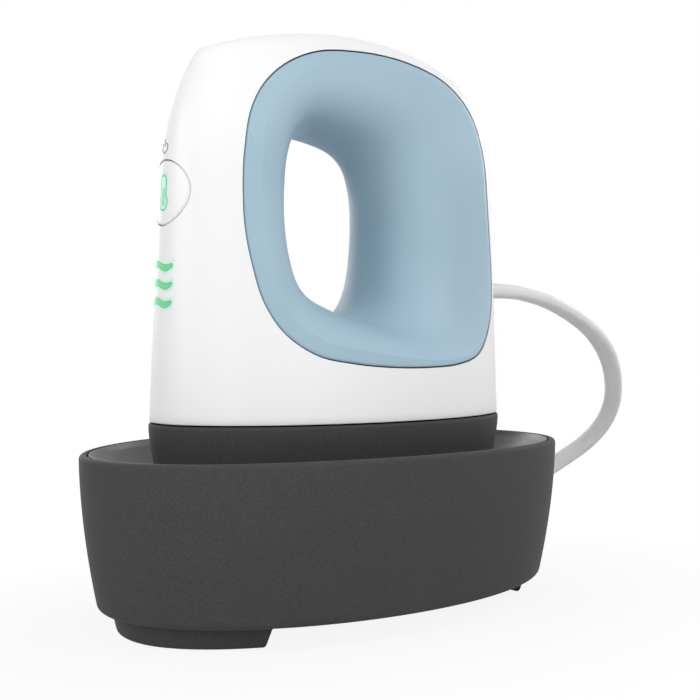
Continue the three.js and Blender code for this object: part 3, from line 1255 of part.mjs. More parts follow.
addPart('heat_plate', makeHeatPlate(), 'plate');
addPart('heating_element', makeHeatingElement(), 'steel');
addPart('element_clamp', makeElementClamp(), 'steel');
CLAMP_BOSS_PLACES.forEach(([x, y], index) => {
  const seat = CLAMP_Z + CLAMP_THICKNESS + 0.1;
  addPart(`clamp_screw_${index + 1}`, screwAlongZ(x, y, seat, PLATE_TOP_Z + 1), 'steel');
});
addPart('insulation_pad', makeInsulationPad(), 'fibre');
addPart('thermistor', makeThermistor(), 'fibre');
addPart('thermal_fuse', makeThermalFuse(), 'steel');
addPart('heat_collar', makeHeatCollar(), 'charcoal');
PLATE_BOSS_PLACES.forEach(([x, y], index) => {
  addPart(`plate_screw_${index + 1}`, screwAlongZ(x, y, CHASSIS_TOP_Z + GAP, PLATE_TOP_Z + 2), 'steel');
});

addPart('outer_shell', makeOuterShell(), 'shell');
addPart('right_grip_liner', makeGripLiner(1), 'grip');
addPart('left_grip_liner', makeGripLiner(-1), 'grip');
addPart('inner_chassis', makeChassis(), 'inner');
[1, -1].forEach((side, index) => {
  const seat = SIDE_POST_TOP_Z + GAP + SHELL_TAB_THICKNESS + GAP;
  addPart(`shell_screw_${index + 1}`, screwAlongZ(side * SIDE_POST_X, 0, seat, CHASSIS_TOP_Z + 0.5), 'steel');
});

addPart('control_board', makeControlBoard(), 'board');
BOARD_SCREW_Z.forEach((z, index) => {
  addPart(`board_screw_${index + 1}`, makeBoardScrew(z), 'steel');
});
addPart('control_chip', makeControlChip(), 'chip');
addPart('tact_switch', makeSwitch(), 'chip');
addPart('film_capacitor', makeCapacitor(), 'fibre');
addPart('buzzer', makeBuzzer(), 'chip');
addPart('triac', makeTriac(), 'chip');
addPart('button_led', makeLed(BUTTON_LED_Z), 'fibre');
WAVE_Z.forEach((z, index) => {
  addPart(`wave_led_${index + 1}`, makeLed(z), 'fibre');
  addPart(`wave_light_${index + 1}`, frontInsert(waveOutline(z, 0), LIGHT_GUIDE_END_Y), 'glow');
});

addPart('power_button', makeButton(), 'shell');
addPart('button_lens', frontInsert(iconOutline(0), ICON_END_Y), 'glow');
addPart('switch_plunger', makePlunger(), 'chip');

addPart('cord_strain_relief', makeStrainRelief(), 'lead');
addPart('cord_clamp', makeCordClamp(), 'inner');
addPart('cord_run', makeCordRun(), 'lead');
addPart('cord_coil', makeCordCoil(), 'lead');
addPart('coil_tie', makeCoilTie(), 'rubber');
addPart('plug_body', makePlugBody(), 'lead');
[1, -1].forEach((side, index) => {
  addPart(`plug_blade_${index + 1}`, placeAtCoilEnd(makeBlade(side, 0)), 'steel');
});

export default group;
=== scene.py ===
"""Mini heat press standing in its safety base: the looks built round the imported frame."""

import logging
import math
from dataclasses import dataclass, field
from enum import Enum
from typing import Any, Callable, Iterable, Sequence, Union

import bmesh
import bpy
from mathutils import Matrix, Vector


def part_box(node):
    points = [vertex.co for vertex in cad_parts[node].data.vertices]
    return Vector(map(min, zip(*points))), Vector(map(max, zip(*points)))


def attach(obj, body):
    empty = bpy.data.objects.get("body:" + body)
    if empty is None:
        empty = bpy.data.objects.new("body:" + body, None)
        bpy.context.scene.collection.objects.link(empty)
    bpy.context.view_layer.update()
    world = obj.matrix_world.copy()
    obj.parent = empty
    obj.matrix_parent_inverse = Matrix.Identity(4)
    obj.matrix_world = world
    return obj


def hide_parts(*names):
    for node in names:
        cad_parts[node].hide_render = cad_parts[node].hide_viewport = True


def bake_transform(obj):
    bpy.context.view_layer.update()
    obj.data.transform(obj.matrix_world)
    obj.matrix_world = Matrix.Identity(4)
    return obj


logging.basicConfig(level=logging.INFO, format="%(message)s")
LOG = logging.getLogger("heat_press")

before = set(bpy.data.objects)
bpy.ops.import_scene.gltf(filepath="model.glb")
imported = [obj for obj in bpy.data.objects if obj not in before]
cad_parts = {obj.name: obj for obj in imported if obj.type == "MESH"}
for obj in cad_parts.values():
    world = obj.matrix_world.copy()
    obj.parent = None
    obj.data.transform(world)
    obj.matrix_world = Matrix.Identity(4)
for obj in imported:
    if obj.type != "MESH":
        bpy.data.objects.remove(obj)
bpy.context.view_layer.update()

MM = 0.001
GAP = 0.3
WHITE = (1.0, 1.0, 1.0, 1.0)
UP = Vector((0.0, 0.0, 1.0))
Colour = tuple[float, float, float]
Point2 = tuple[float, float]
Section = Callable[[float], Vector]
Outline = Callable[[float], Point2]


class Body(Enum):
    """The bodies of the frame that pieces ride on."""

    BASE = "base"
    PRESS = "press"
    BUTTON = "button"


class Slot(Enum):
    """The record's material slots."""

    CHARCOAL = "charcoal_plastic"
    DISH = "dish_plastic"
    RUBBER = "black_rubber"
    PLATE = "coated_plate"
    STEEL = "steel"
    WHITE = "white_plastic"
    GRIP = "blue_grip"
    DARK_PART = "dark_component"
    LIGHT = "green_light"
    LEAD = "lead_vinyl"


class Boolean(Enum):
    """How two solids are combined."""

    CUT = "DIFFERENCE"
    JOIN = "UNION"
    COMMON = "INTERSECT"


# Shader maths


class Value:
    """A shader socket with Python's operators, each of which adds a Math node."""

    def __init__(self, graph: "Graph", socket: bpy.types.NodeSocket) -> None:
        """Wraps a socket of a graph."""
        self.graph = graph
        self.socket = socket

    def _math(self, operation: str, *terms: "Number") -> "Value":
        """Adds a Math node over some terms."""
        return self.graph.node("ShaderNodeMath", {"operation": operation}, dict(enumerate(terms)))

    def __add__(self, other: "Number") -> "Value":
        """Sum."""
        return self._math("ADD", self, other)

    __radd__ = __add__

    def __sub__(self, other: "Number") -> "Value":
        """Difference."""
        return self._math("SUBTRACT", self, other)

    def __rsub__(self, other: "Number") -> "Value":
        """Difference from a number."""
        return self._math("SUBTRACT", other, self)

    def __mul__(self, other: "Number") -> "Value":
        """Product."""
        return self._math("MULTIPLY", self, other)

    __rmul__ = __mul__

    def __truediv__(self, other: "Number") -> "Value":
        """Quotient."""
        return self._math("DIVIDE", self, other)

    def __pow__(self, other: "Number") -> "Value":
        """Power."""
        return self._math("POWER", self, other)

    def __abs__(self) -> "Value":
        """Size without sign."""
        return self._math("ABSOLUTE", self)

    def sine(self) -> "Value":
        """Sine, in radians."""
        return self._math("SINE", self)

    def exp(self) -> "Value":
        """Exponential."""
        return self._math("EXPONENT", self)

    def least(self, other: "Number") -> "Value":
        """The smaller of two."""
        return self._math("MINIMUM", self, other)

    def most(self, other: "Number") -> "Value":
        """The larger of two."""
        return self._math("MAXIMUM", self, other)


Number = Union[float, Value]


class Graph:
    """The node tree of one material or of the world."""

    def __init__(self, owner: Union[bpy.types.Material, bpy.types.World]) -> None:
        """Empties the owner's tree.

        Args:
            owner: the material or world whose nodes are written.
        """
        owner.use_nodes = True
        self.tree = owner.node_tree
        self.tree.nodes.clear()

    def node(
        self,
        kind: str,
        settings: dict[str, Any] | None = None,
        inputs: dict[Union[str, int], Any] | None = None,
        out: Union[str, int] = 0,
    ) -> Value:
        """Makes a node.

        Args:
            kind: the node's type.
            settings: properties, set before the sockets.
            inputs: values or links of its sockets, by name or number.
            out: the output that is returned.

        Returns:
            The chosen output.
        """
        made = self.tree.nodes.new(kind)
        for name, value in (settings or {}).items():
            setattr(made, name, value)
        for key, value in (inputs or {}).items():
            if isinstance(value, Value):
                self.tree.links.new(value.socket, made.inputs[key])
            else:
                made.inputs[key].default_value = value
        return Value(self, made.outputs[out] if made.outputs else made.inputs[0])

    def place(self) -> Value:
        """The point on the piece, in metres."""
        return self.node("ShaderNodeTexCoord", out="Object")

    def parts(self, vector: Value) -> tuple[Value, Value, Value]:
        """Splits a vector.

        Args:
            vector: the vector.

        Returns:
            Its x, y and z.
        """
        split = self.tree.nodes.new("ShaderNodeSeparateXYZ")
        self.tree.links.new(vector.socket, split.inputs[0])
        return tuple(Value(self, socket) for socket in split.outputs)

    def stretched(self, vector: Value, scale: tuple[float, float, float]) -> Value:
        """A vector with each part multiplied."""
        return self.node("ShaderNodeVectorMath", {"operation": "MULTIPLY"}, {0: vector, 1: scale})

    def noise(self, size_mm: float, detail: float = 2.0, vector: Value | None = None) -> Value:
        """Noise with lumps of a size.

        Args:
            size_mm: the size of one lump.
            detail: how many finer layers it has.
            vector: where it is read, the piece's own place if left out.

        Returns:
            The noise, about 0.5 on average.
        """
        where = vector or self.place()
        inputs = {"Vector": where, "Scale": 1.0 / (size_mm * MM), "Detail": detail}
        return self.node("ShaderNodeTexNoise", inputs=inputs)

    def blend(self, share: Number, first: Any, second: Any) -> Value:
        """Mixes two colours.

        Args:
            share: how much of the second.
            first: a colour or link.
            second: a colour or link.

        Returns:
            The mixed colour.
        """
        colours = [c if isinstance(c, Value) else (*c, 1.0) for c in (first, second)]
        inputs = {0: share, 6: colours[0], 7: colours[1]}
        return self.node("ShaderNodeMix", {"data_type": "RGBA"}, inputs, out=2)

    def ramp(self, value: Value, low: float, high: float) -> Value:
        """A value brought from low..high to 0..1, and held there."""
        return self.node("ShaderNodeMapRange", inputs={0: value, 1: low, 2: high})

    def bump(self, height: Value, depth_mm: float, strength: float = 1.0) -> Value:
        """A normal from a height.

        Args:
            height: the height, 0 to 1.
            depth_mm: how deep one unit is.
            strength: how strongly it shows.

        Returns:
            The normal.
        """
        inputs = {"Height": height, "Distance": depth_mm * MM, "Strength": strength}
        return self.node("ShaderNodeBump", inputs=inputs)

    def surface(self, inputs: dict[str, Any]) -> None:
        """Ends the tree in a Principled shader.

        Args:
            inputs: its sockets, by name.
        """
        shader = self.node("ShaderNodeBsdfPrincipled", inputs=inputs)
        self.node("ShaderNodeOutputMaterial", inputs={"Surface": shader})


def linear(red: int, green: int, blue: int) -> Colour:
    """A colour as seen on a screen, in the shader's own numbers.

    Args:
        red: 0 to 255.
        green: 0 to 255.
        blue: 0 to 255.

    Returns:
        The linear colour.
    """

    def one(channel: int) -> float:
        """Brings one channel to linear."""
        share = channel / 255
        return share / 12.92 if share <= 0.04045 else ((share + 0.055) / 1.055) ** 2.4

    return one(red), one(green), one(blue)


class Finish:
    """A finish that makes its material once."""

    name: str

    def write(self, graph: Graph) -> None:
        """Writes the material's nodes into a graph."""
        raise NotImplementedError

    def material(self) -> bpy.types.Material:
        """The material, made at the first call."""
        found = bpy.data.materials.get(self.name)
        if found is None:
            found = bpy.data.materials.new(self.name)
            self.write(Graph(found))
        return found


@dataclass(frozen=True)
class GrainedPlastic(Finish):
    """Moulded plastic with a fine spark-eroded grain and faint mottling."""

    name: str
    colour: Colour
    fleck: Colour
    roughness: float = 0.62
    grain_mm: float = 0.42
    grain_depth_mm: float = 0.05
    fleck_share: float = 0.5
    mottle_mm: float = 9.0
    gloss: float = 0.3

    def write(self, graph: Graph) -> None:
        """Writes the grain, its flecks and its uneven shine."""
        fine = graph.noise(self.grain_mm, 3.0)
        finer = graph.noise(self.grain_mm * 0.45, 1.0)
        mottle = graph.noise(self.mottle_mm, 2.0)
        flecks = graph.ramp(fine, 0.42, 0.68) * self.fleck_share
        base = graph.blend(flecks, self.colour, self.fleck)
        shade = graph.ramp(mottle, 0.3, 0.7) * 0.12
        dark = tuple(channel * 0.75 for channel in self.colour)
        graph.surface(
            {
                "Base Color": graph.blend(shade, base, dark),
                "Roughness": self.roughness + (fine - 0.5) * 0.25,
                "Specular IOR Level": self.gloss,
                "Normal": graph.bump(fine * 0.7 + finer * 0.3, self.grain_depth_mm, 0.8),
            }
        )


@dataclass(frozen=True)
class Waves:
    """The three lit waves on the front of the housing."""

    heights: tuple[float, ...] = (67.3, 71.0, 74.7)
    half_width: float = 3.6
    half_stroke: float = 0.6
    swing: float = 0.45
    end_power: float = 3.2


WAVES = Waves()


@dataclass(frozen=True)
class HousingGloss(Finish):
    """White gloss plastic, with the green glow of the waves and the button's symbol painted round them."""

    name: str = "housing_white_gloss"
    colour: Colour = linear(246, 246, 247)
    shade: Colour = linear(242, 243, 244)
    # painted glow: the green that the lights cast on the white round them, given as colour
    glow: Colour = linear(200, 248, 218)
    symbol_low: float = 87.5
    symbol_high: float = 92.1
    symbol_half_width: float = 1.3
    spread: float = 0.5

    def write(self, graph: Graph) -> None:
        """Writes the gloss, a faint moulding ripple and, painted into the colour, the light that bleeds round
        the lights.
        """
        x, y, z = (part / MM for part in graph.parts(graph.place()))
        swing = (x * (math.pi / WAVES.half_width)).sine() * WAVES.swing
        beyond = (abs(x) - WAVES.half_width).most(0.0)
        above = (z - self.symbol_high).most(0.0) + (self.symbol_low - z).most(0.0)
        off_symbol = ((x * x + above * above) ** 0.5 - self.symbol_half_width).most(0.0)
        painted_glow = (off_symbol * off_symbol * (-1.0 / self.spread**2)).exp() * 0.7
        for height in WAVES.heights:
            across = (abs(z - height + swing) - WAVES.half_stroke).most(0.0)
            apart = (across * across + beyond * beyond) * (-1.0 / self.spread**2)
            painted_glow = painted_glow + apart.exp()
        in_front = graph.ramp(y, -35.0, -38.0)
        ripple = graph.noise(14.0, 1.0)
        peel = graph.noise(1.6, 1.0)
        white = graph.blend((ripple - 0.5) * 0.2 + 0.1, self.colour, self.shade)
        graph.surface(
            {
                # painted glow: the green light round the waves and the symbol is blended into the base colour
                # of the front
                "Base Color": graph.blend(painted_glow.least(1.0) * in_front, white, self.glow),
                "Roughness": 0.4 + (ripple - 0.5) * 0.08,
                "Coat Weight": 0.12,
                "Coat Roughness": 0.25,
                "Normal": graph.bump(peel, 0.006, 0.5),
            }
        )


@dataclass(frozen=True)
class SoftGrip(Finish):
    """Blue soft-touch lining with a satin skin and a very fine grain."""

    name: str = "grip_soft_blue"
    colour: Colour = linear(162, 190, 206)
    worn: Colour = linear(168, 195, 210)
    roughness: float = 0.5

    def write(self, graph: Graph) -> None:
        """Writes the satin skin and its slightly polished patches."""
        fine = graph.noise(0.22, 2.0)
        broad = graph.noise(16.0, 2.0)
        polish = graph.ramp(broad, 0.4, 0.7)
        graph.surface(
            {
                "Base Color": graph.blend(polish * 0.6, self.colour, self.worn),
                "Roughness": self.roughness - polish * 0.06 + (fine - 0.5) * 0.1,
                "Specular IOR Level": 0.3,
                "Normal": graph.bump(fine, 0.012, 0.5),
            }
        )


@dataclass(frozen=True)
class LitWindow(Finish):
    """A frosted green window, part of whose brightness comes from the light behind it."""

    name: str
    colour: Colour
    core: Colour
    share_lit: float = 0.55

    def light(self, graph: Graph) -> Value:
        """The colour that the window shows, brighter where its frosting is thin."""
        return graph.blend(graph.ramp(graph.noise(0.5, 1.0), 0.3, 0.75), self.colour, self.core)

    def write(self, graph: Graph) -> None:
        """Writes the light and the slightly frosted skin."""
        light = self.light(graph)
        graph.surface(
            {
                "Base Color": graph.stretched(light, (1.0 - self.share_lit,) * 3),
                "Roughness": 0.35 + graph.noise(0.5, 1.0) * 0.15,
                "Emission Color": light,
                "Emission Strength": self.share_lit,
            }
        )


@dataclass(frozen=True)
class GaugeWindow(LitWindow):
    """The thermometer's window, with a darker column standing in its tube."""

    column: Colour = linear(112, 214, 168)
    column_half_width: float = 0.42
    column_top: float = 90.3
    bulb_z: float = 87.5
    bulb_radius: float = 0.95
    soft: float = 0.25

    def light(self, graph: Graph) -> Value:
        """The window's own colour with the column and its bulb."""
        x, _, z = (part / MM for part in graph.parts(graph.place()))
        rise = z - self.bulb_z
        bulb = 1.0 - graph.ramp((x * x + rise * rise) ** 0.5, self.bulb_radius - self.soft, self.bulb_radius)
        beside = (abs(x) - self.column_half_width).most(0.0)
        beyond = (z - self.column_top).most(0.0) + (self.bulb_z - z).most(0.0)
        column = 1.0 - graph.ramp(beside + beyond, 0.0, self.soft)
        return graph.blend(bulb.most(column) * 0.8, super().light(graph), self.column)


@dataclass(frozen=True)
class Skin(Finish):
    """A smooth skin of rubber or vinyl, with a fine grain and soft marks that are duller."""

    name: str
    colour: Colour
    marked: Colour
    roughness: float
    duller: float = 0.1
    mark_mm: float = 7.0
    mark_detail: float = 5.0
    mark_from: float = 0.5
    grain_mm: float = 0.35
    grain_depth_mm: float = 0.012
    grain_strength: float = 0.5

    def write(self, graph: Graph) -> None:
        """Writes the skin, its marks and its grain."""
        marks = graph.ramp(graph.noise(self.mark_mm, self.mark_detail), self.mark_from, 0.75)
        grain = graph.noise(self.grain_mm, 2.0)
        graph.surface(
            {
                "Base Color": graph.blend(marks * 0.5, self.colour, self.marked),
                "Roughness": self.roughness + marks * self.duller,
                "Normal": graph.bump(grain, self.grain_depth_mm, self.grain_strength),
            }
        )


@dataclass(frozen=True)
class CoatedMetal(Finish):
    """A pressing plate with a dark, finely speckled ceramic coat, rubbed in places."""

    name: str = "plate_ceramic_coat"
    colour: Colour = linear(92, 90, 88)
    fleck: Colour = linear(140, 137, 132)

    def write(self, graph: Graph) -> None:
        """Writes the speckled coat and its rubbed places."""
        fleck = graph.ramp(graph.noise(0.35, 2.0), 0.6, 0.7)
        rubbed = graph.ramp(graph.noise(14.0, 5.0), 0.5, 0.7)
        graph.surface(
            {
                "Base Color": graph.blend(fleck * 0.7, self.colour, self.fleck),
                "Metallic": 0.35 + rubbed * 0.2,
                "Roughness": 0.42 - rubbed * 0.12,
                "Normal": graph.bump(fleck, 0.008, 0.5),
            }
        )


@dataclass(frozen=True)
class BrushedMetal(Finish):
    """Plated metal with fine brushing along one direction."""

    name: str
    colour: Colour
    stretch: tuple[float, float, float] = (1.0, 0.08, 1.0)
    roughness: float = 0.3

    def write(self, graph: Graph) -> None:
        """Writes the brushing into the shine and the skin."""
        lines = graph.noise(0.25, 3.0, graph.stretched(graph.place(), self.stretch))
        dull = tuple(channel * 0.7 for channel in self.colour)
        graph.surface(
            {
                "Base Color": graph.blend(lines * 0.4, self.colour, dull),
                "Metallic": 1.0,
                "Roughness": self.roughness + (lines - 0.5) * 0.25,
                "Normal": graph.bump(lines, 0.01, 0.4),
            }
        )


@dataclass(frozen=True)
class WovenStrap(Finish):
    """Black hook-and-loop strap, with a nap of tiny loops."""

    name: str = "strap_loops"
    colour: Colour = linear(34, 35, 38)
    tip: Colour = linear(72, 74, 80)

    def write(self, graph: Graph) -> None:
        """Writes the nap."""
        cells = graph.node(
            "ShaderNodeTexVoronoi",
            inputs={"Vector": graph.place(), "Scale": 1.0 / (0.55 * MM)},
            out="Distance",
        )
        tips = 1.0 - graph.ramp(cells, 0.1, 0.6)
        graph.surface(
            {
                "Base Color": graph.blend(tips, self.colour, self.tip),
                "Roughness": 0.9,
                "Sheen Weight": 0.3,
                "Normal": graph.bump(tips, 0.15, 0.9),
            }
        )


@dataclass(frozen=True)
class FeltedFibre(Finish):
    """Pale needled insulating felt."""

    name: str = "insulating_felt"
    colour: Colour = linear(214, 206, 188)
    shade: Colour = linear(178, 168, 148)

    def write(self, graph: Graph) -> None:
        """Writes the tangled fibres."""
        fibres = graph.noise(0.6, 6.0, graph.stretched(graph.place(), (1.0, 0.3, 1.0)))
        graph.surface(
            {
                "Base Color": graph.blend(fibres, self.shade, self.colour),
                "Roughness": 0.95,
                "Normal": graph.bump(fibres, 0.2, 0.8),
            }
        )


@dataclass(frozen=True)
class BoardLaminate(Finish):
    """Green varnished board with copper tracks under the varnish."""

    name: str = "board_green_varnish"
    colour: Colour = linear(30, 92, 56)
    track: Colour = linear(52, 122, 74)

    def write(self, graph: Graph) -> None:
        """Writes the tracks and the varnish."""
        weave = graph.noise(1.4, 0.0, graph.stretched(graph.place(), (1.0, 1.0, 0.25)))
        tracks = graph.ramp(weave, 0.5, 0.54)
        graph.surface(
            {
                "Base Color": graph.blend(tracks, self.colour, self.track),
                "Roughness": 0.32 + tracks * 0.08,
                "Normal": graph.bump(tracks, 0.03, 0.6),
            }
        )


CHARCOAL = GrainedPlastic("base_charcoal_grain", linear(67, 67, 68), linear(83, 83, 85), 0.75, gloss=0.16)
COLLAR_GREY = GrainedPlastic("collar_charcoal_grain", linear(61, 61, 62), linear(77, 77, 79), 0.72, gloss=0.2)
DISH_GREY = GrainedPlastic(
    "dish_grey_grain", linear(64, 64, 65), linear(82, 82, 84), 0.36, 0.5, 0.012, 0.4, 9.0, 0.5
)
INNER_GREY = GrainedPlastic("inner_pale_plastic", linear(206, 206, 200), linear(190, 190, 184), 0.5)
DARK_PART = GrainedPlastic("dark_moulding", linear(30, 30, 32), linear(44, 44, 46), 0.45)
PALE_PART = GrainedPlastic("pale_moulding", linear(215, 207, 190), linear(226, 220, 206), 0.45)
HOUSING_WHITE = HousingGloss()
GRIP_BLUE = SoftGrip()
WAVE_GREEN = LitWindow("wave_green", linear(92, 204, 140), linear(112, 214, 154))
SYMBOL_GREEN = GaugeWindow("symbol_mint", linear(192, 240, 220), linear(206, 246, 228))
SYMBOL_EDGE = LitWindow("symbol_edge_green", linear(112, 190, 156), linear(122, 198, 164))
PRINT_GREY = GrainedPlastic("printed_grey", linear(120, 121, 124), linear(132, 133, 136), 0.5)
RUBBER = Skin(
    "black_rubber_skin", linear(38, 38, 40), linear(64, 63, 62), 0.78, 0.12, 3.0, 4.0, 0.52, 0.3, 0.03, 0.6
)
PLATE_COAT = CoatedMetal()
STEEL = BrushedMetal("plated_steel", linear(190, 192, 196))
PRONG_METAL = BrushedMetal("plug_prong_metal", linear(205, 200, 186), (1.0, 1.0, 0.08), 0.24)
LEAD_GREY = Skin("lead_grey_vinyl", linear(229, 230, 231), linear(218, 219, 221), 0.42)
PLUG_GREY = Skin("plug_grey_vinyl", linear(198, 200, 202), linear(182, 184, 186), 0.5)
STRAP = WovenStrap()
FELT = FeltedFibre()
BOARD = BoardLaminate()


# Shapes


def superellipse(angle: float, half_x: float, half_y: float, power: float) -> Point2:
    """A point of a superellipse.

    Args:
        angle: from 0 to a full turn.
        half_x: half-width.
        half_y: half-length.
        power: 2 for an ellipse, more for squarer.

    Returns:
        The point's two coordinates.
    """
    cosine, sine = math.cos(angle), math.sin(angle)
    across = math.copysign(abs(cosine) ** (2 / power), cosine) * half_x
    along = math.copysign(abs(sine) ** (2 / power), sine) * half_y
    return across, along


def along_curve(points: Sequence[Vector], share: float, closed: bool) -> Vector:
    """A point on a smooth centripetal curve through points.

    Args:
        points: what the curve goes through.
        share: how far along, from 0 to 1, counting points evenly.
        closed: whether it returns to its start.

    Returns:
        The point.
    """
    count = len(points)
    place = share * (count if closed else count - 1)
    index = min(int(place), count - 1 if closed else count - 2)
    weight = place - index

    def at(i: int) -> Vector:
        """The point of a number, wrapped or carried on past an end."""
        if closed:
            return points[i % count]
        if i < 0:
            return points[0] * 2 - points[1]
        if i >= count:
            return points[-1] * 2 - points[-2]
        return points[i]

    before, start, end, after = (at(index + step) for step in (-1, 0, 1, 2))
    first = max((start - before).length, 1e-6) ** 0.5
    middle = max((end - start).length, 1e-6) ** 0.5
    last = max((after - end).length, 1e-6) ** 0.5
    leave = (start - before) / first - (end - before) / (first + middle) + (end - start) / middle
    arrive = (end - start) / middle - (after - start) / (middle + last) + (after - end) / last
    leave, arrive = leave * middle, arrive * middle
    square = (end - start) * 3 - leave * 2 - arrive
    cube = (start - end) * 2 + leave + arrive
    return start + leave * weight + square * weight**2 + cube * weight**3


class Loft:
    """A skin drawn through closed sections, each one extruded from the last."""

    def __init__(self, segments: int) -> None:
        """Starts with a circle.

        Args:
            segments: how many edges each section has.
        """
        self.bm = bmesh.new()
        self.angle = self.bm.verts.layers.float.new("angle")
        made = bmesh.ops.create_circle(self.bm, cap_ends=False, radius=1.0, segments=segments)
        for vert in made["verts"]:
            vert[self.angle] = math.atan2(vert.co.y, vert.co.x) % math.tau
        self.rim: list[bmesh.types.BMEdge] = list(self.bm.edges)
        self.start = self.rim
        self.placed = False

    def through(self, *sections: Section) -> "Loft":
        """Draws the skin on through sections.

        Args:
            sections: for each, a point for each angle.

        Returns:
            The loft itself.
        """
        for section in sections:
            if self.placed:
                grown = bmesh.ops.extrude_edge_only(self.bm, edges=self.rim)["geom"]
                verts = {item for item in grown if isinstance(item, bmesh.types.BMVert)}
                edges = (item for item in grown if isinstance(item, bmesh.types.BMEdge))
                self.rim = [edge for edge in edges if set(edge.verts) <= verts]
            self.placed = True
            for vert in {vert for edge in self.rim for vert in edge.verts}:
                vert.co = section(vert[self.angle])
        return self

    def _cap(self, rim: list[bmesh.types.BMEdge], hub: Vector | None) -> None:
        """Closes a rim with a fan round a hub, its middle if left out."""
        face = bmesh.ops.contextual_create(self.bm, geom=rim)["faces"][0]
        middle = bmesh.ops.poke(self.bm, faces=[face])["verts"][0]
        if hub is not None:
            middle.co = hub

    def closed(self, last: Vector | None = None) -> bmesh.types.BMesh:
        """Closes both ends.

        Args:
            last: the hub of the last end, its middle if left out.

        Returns:
            The closed mesh.
        """
        self._cap(self.start, None)
        self._cap(self.rim, last)
        return self.bm

    def looped(self) -> bmesh.types.BMesh:
        """Joins the last section to the first and gives the closed mesh."""
        bmesh.ops.bridge_loops(self.bm, edges=self.start + self.rim)
        return self.bm


def loose_object(bm: bmesh.types.BMesh) -> bpy.types.Object:
    """Puts a mesh into the scene for a moment.

    Args:
        bm: the mesh, which is used up.

    Returns:
        The object.
    """
    bmesh.ops.recalc_face_normals(bm, faces=bm.faces)
    mesh = bpy.data.meshes.new("loose")
    bm.to_mesh(mesh)
    bm.free()
    made = bpy.data.objects.new("loose", mesh)
    bpy.context.scene.collection.objects.link(made)
    return made


def combine(target: bmesh.types.BMesh, tool: bmesh.types.BMesh, how: Boolean) -> bmesh.types.BMesh:
    """Combines two closed meshes, which are used up.

    Args:
        target: the mesh that is worked on.
        tool: the mesh it is worked with.
        how: cut, join or common.

    Returns:
        The result.
    """
    first, second = loose_object(target), loose_object(tool)
    modifier = first.modifiers.new("combine", "BOOLEAN")
    modifier.operation = how.value
    modifier.solver = "EXACT"
    modifier.object = second
    graph = bpy.context.evaluated_depsgraph_get()
    mesh = bpy.data.meshes.new_from_object(first.evaluated_get(graph))
    result = bmesh.new()
    result.from_mesh(mesh)
    bpy.data.meshes.remove(mesh)
    for item in (first, second):
        used = item.data
        bpy.data.objects.remove(item)
        bpy.data.meshes.remove(used)
    return result


def trimmed(bm: bmesh.types.BMesh, point: Vector, normal: Vector) -> bmesh.types.BMesh:
    """Cuts away what lies beyond a plane and closes the cut.

    Args:
        bm: a closed mesh.
        point: a point of the plane.
        normal: towards what goes.

    Returns:
        The same mesh.
    """
    geom = [*bm.verts, *bm.edges, *bm.faces]
    cut = bmesh.ops.bisect_plane(bm, geom=geom, plane_co=point, plane_no=normal, clear_outer=True)
    edges = [item for item in cut["geom_cut"] if isinstance(item, bmesh.types.BMEdge)]
    bmesh.ops.contextual_create(bm, geom=edges)
    return bm


def level_ring(z: float, half_x: float, half_y: float, power: float) -> Section:
    """A superellipse that lies level at a height."""
    return lambda angle: Vector((*superellipse(angle, half_x, half_y, power), z))


def upright_ring(y: float, half_x: float, half_z: float, power: float, middle: float = 0.0) -> Section:
    """A superellipse that stands across Y.

    Args:
        y: its place along Y.
        half_x: half-width.
        half_z: half-height.
        power: 2 for an ellipse, more for squarer.
        middle: the height of its middle.

    Returns:
        The section.
    """

    def point(angle: float) -> Vector:
        """One point of it."""
        x, z = superellipse(angle, half_x, half_z, power)
        return Vector((x, y, middle + z))

    return point


def rounded_edge(radius: float, steps: int) -> list[Point2]:
    """The rounding of a lower edge, from its underside to its upright side.

    Args:
        radius: its radius.
        steps: how many steps the quarter turn has.

    Returns:
        How far it has risen and how far it still stands in, at each step.
    """
    turns = (math.pi / 2 * step / steps for step in range(steps + 1))
    return [(radius * (1 - math.cos(turn)), radius * (1 - math.sin(turn))) for turn in turns]


def rod_along_y(z: float, low: float, high: float, radius: float) -> bmesh.types.BMesh:
    """A round rod along Y at a height, from low to high."""
    return Loft(64).through(*(upright_ring(y, radius, radius, 2.0, z) for y in (low, high))).closed()


def prism_along_y(outline: Outline, low: float, high: float) -> bmesh.types.BMesh:
    """An outline in x and z, drawn out along Y.

    Args:
        outline: a point for each angle.
        low: its start.
        high: its end.

    Returns:
        The closed mesh.
    """

    def section(y: float) -> Section:
        """The outline at a place along Y."""

        def point(angle: float) -> Vector:
            """One point of it."""
            x, z = outline(angle)
            return Vector((x, y, z))

        return point

    return Loft(96).through(section(low), section(high)).closed()


def show(
    name: str,
    bm: bmesh.types.BMesh,
    finish: Finish,
    body: Body | None,
    slot: Slot,
    stands_for: Iterable[str] = (),
    sharp_degrees: float = 34.0,
) -> bpy.types.Object:
    """Makes a finished piece from a mesh in millimetres.

    Args:
        name: the piece's name.
        bm: its mesh, which is used up.
        finish: its finish.
        body: the body that it rides on, or nothing.
        slot: the record's slot; not used.
        stands_for: the frame's nodes that it replaces.
        sharp_degrees: edges bent more than this stay crisp.

    Returns:
        The piece.
    """
    bmesh.ops.remove_doubles(bm, verts=bm.verts, dist=1e-4)
    bmesh.ops.recalc_face_normals(bm, faces=bm.faces)
    for edge in bm.edges:
        edge.smooth = edge.calc_face_angle(0.0) < math.radians(sharp_degrees)
    for face in bm.faces:
        face.smooth = True
    bmesh.ops.scale(bm, vec=(MM, MM, MM), verts=bm.verts)
    mesh = bpy.data.meshes.new(name)
    bm.to_mesh(mesh)
    bm.free()
    mesh.materials.append(finish.material())
    piece = bpy.data.objects.new(name, mesh)
    bpy.context.scene.collection.objects.link(piece)
    if body is not None:
        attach(piece, body.value)
    if stands_for:
        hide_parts(*stands_for)
    LOG.info("%s: %d faces, %s", name, len(mesh.polygons), body.value if body else "two bodies")
    return piece


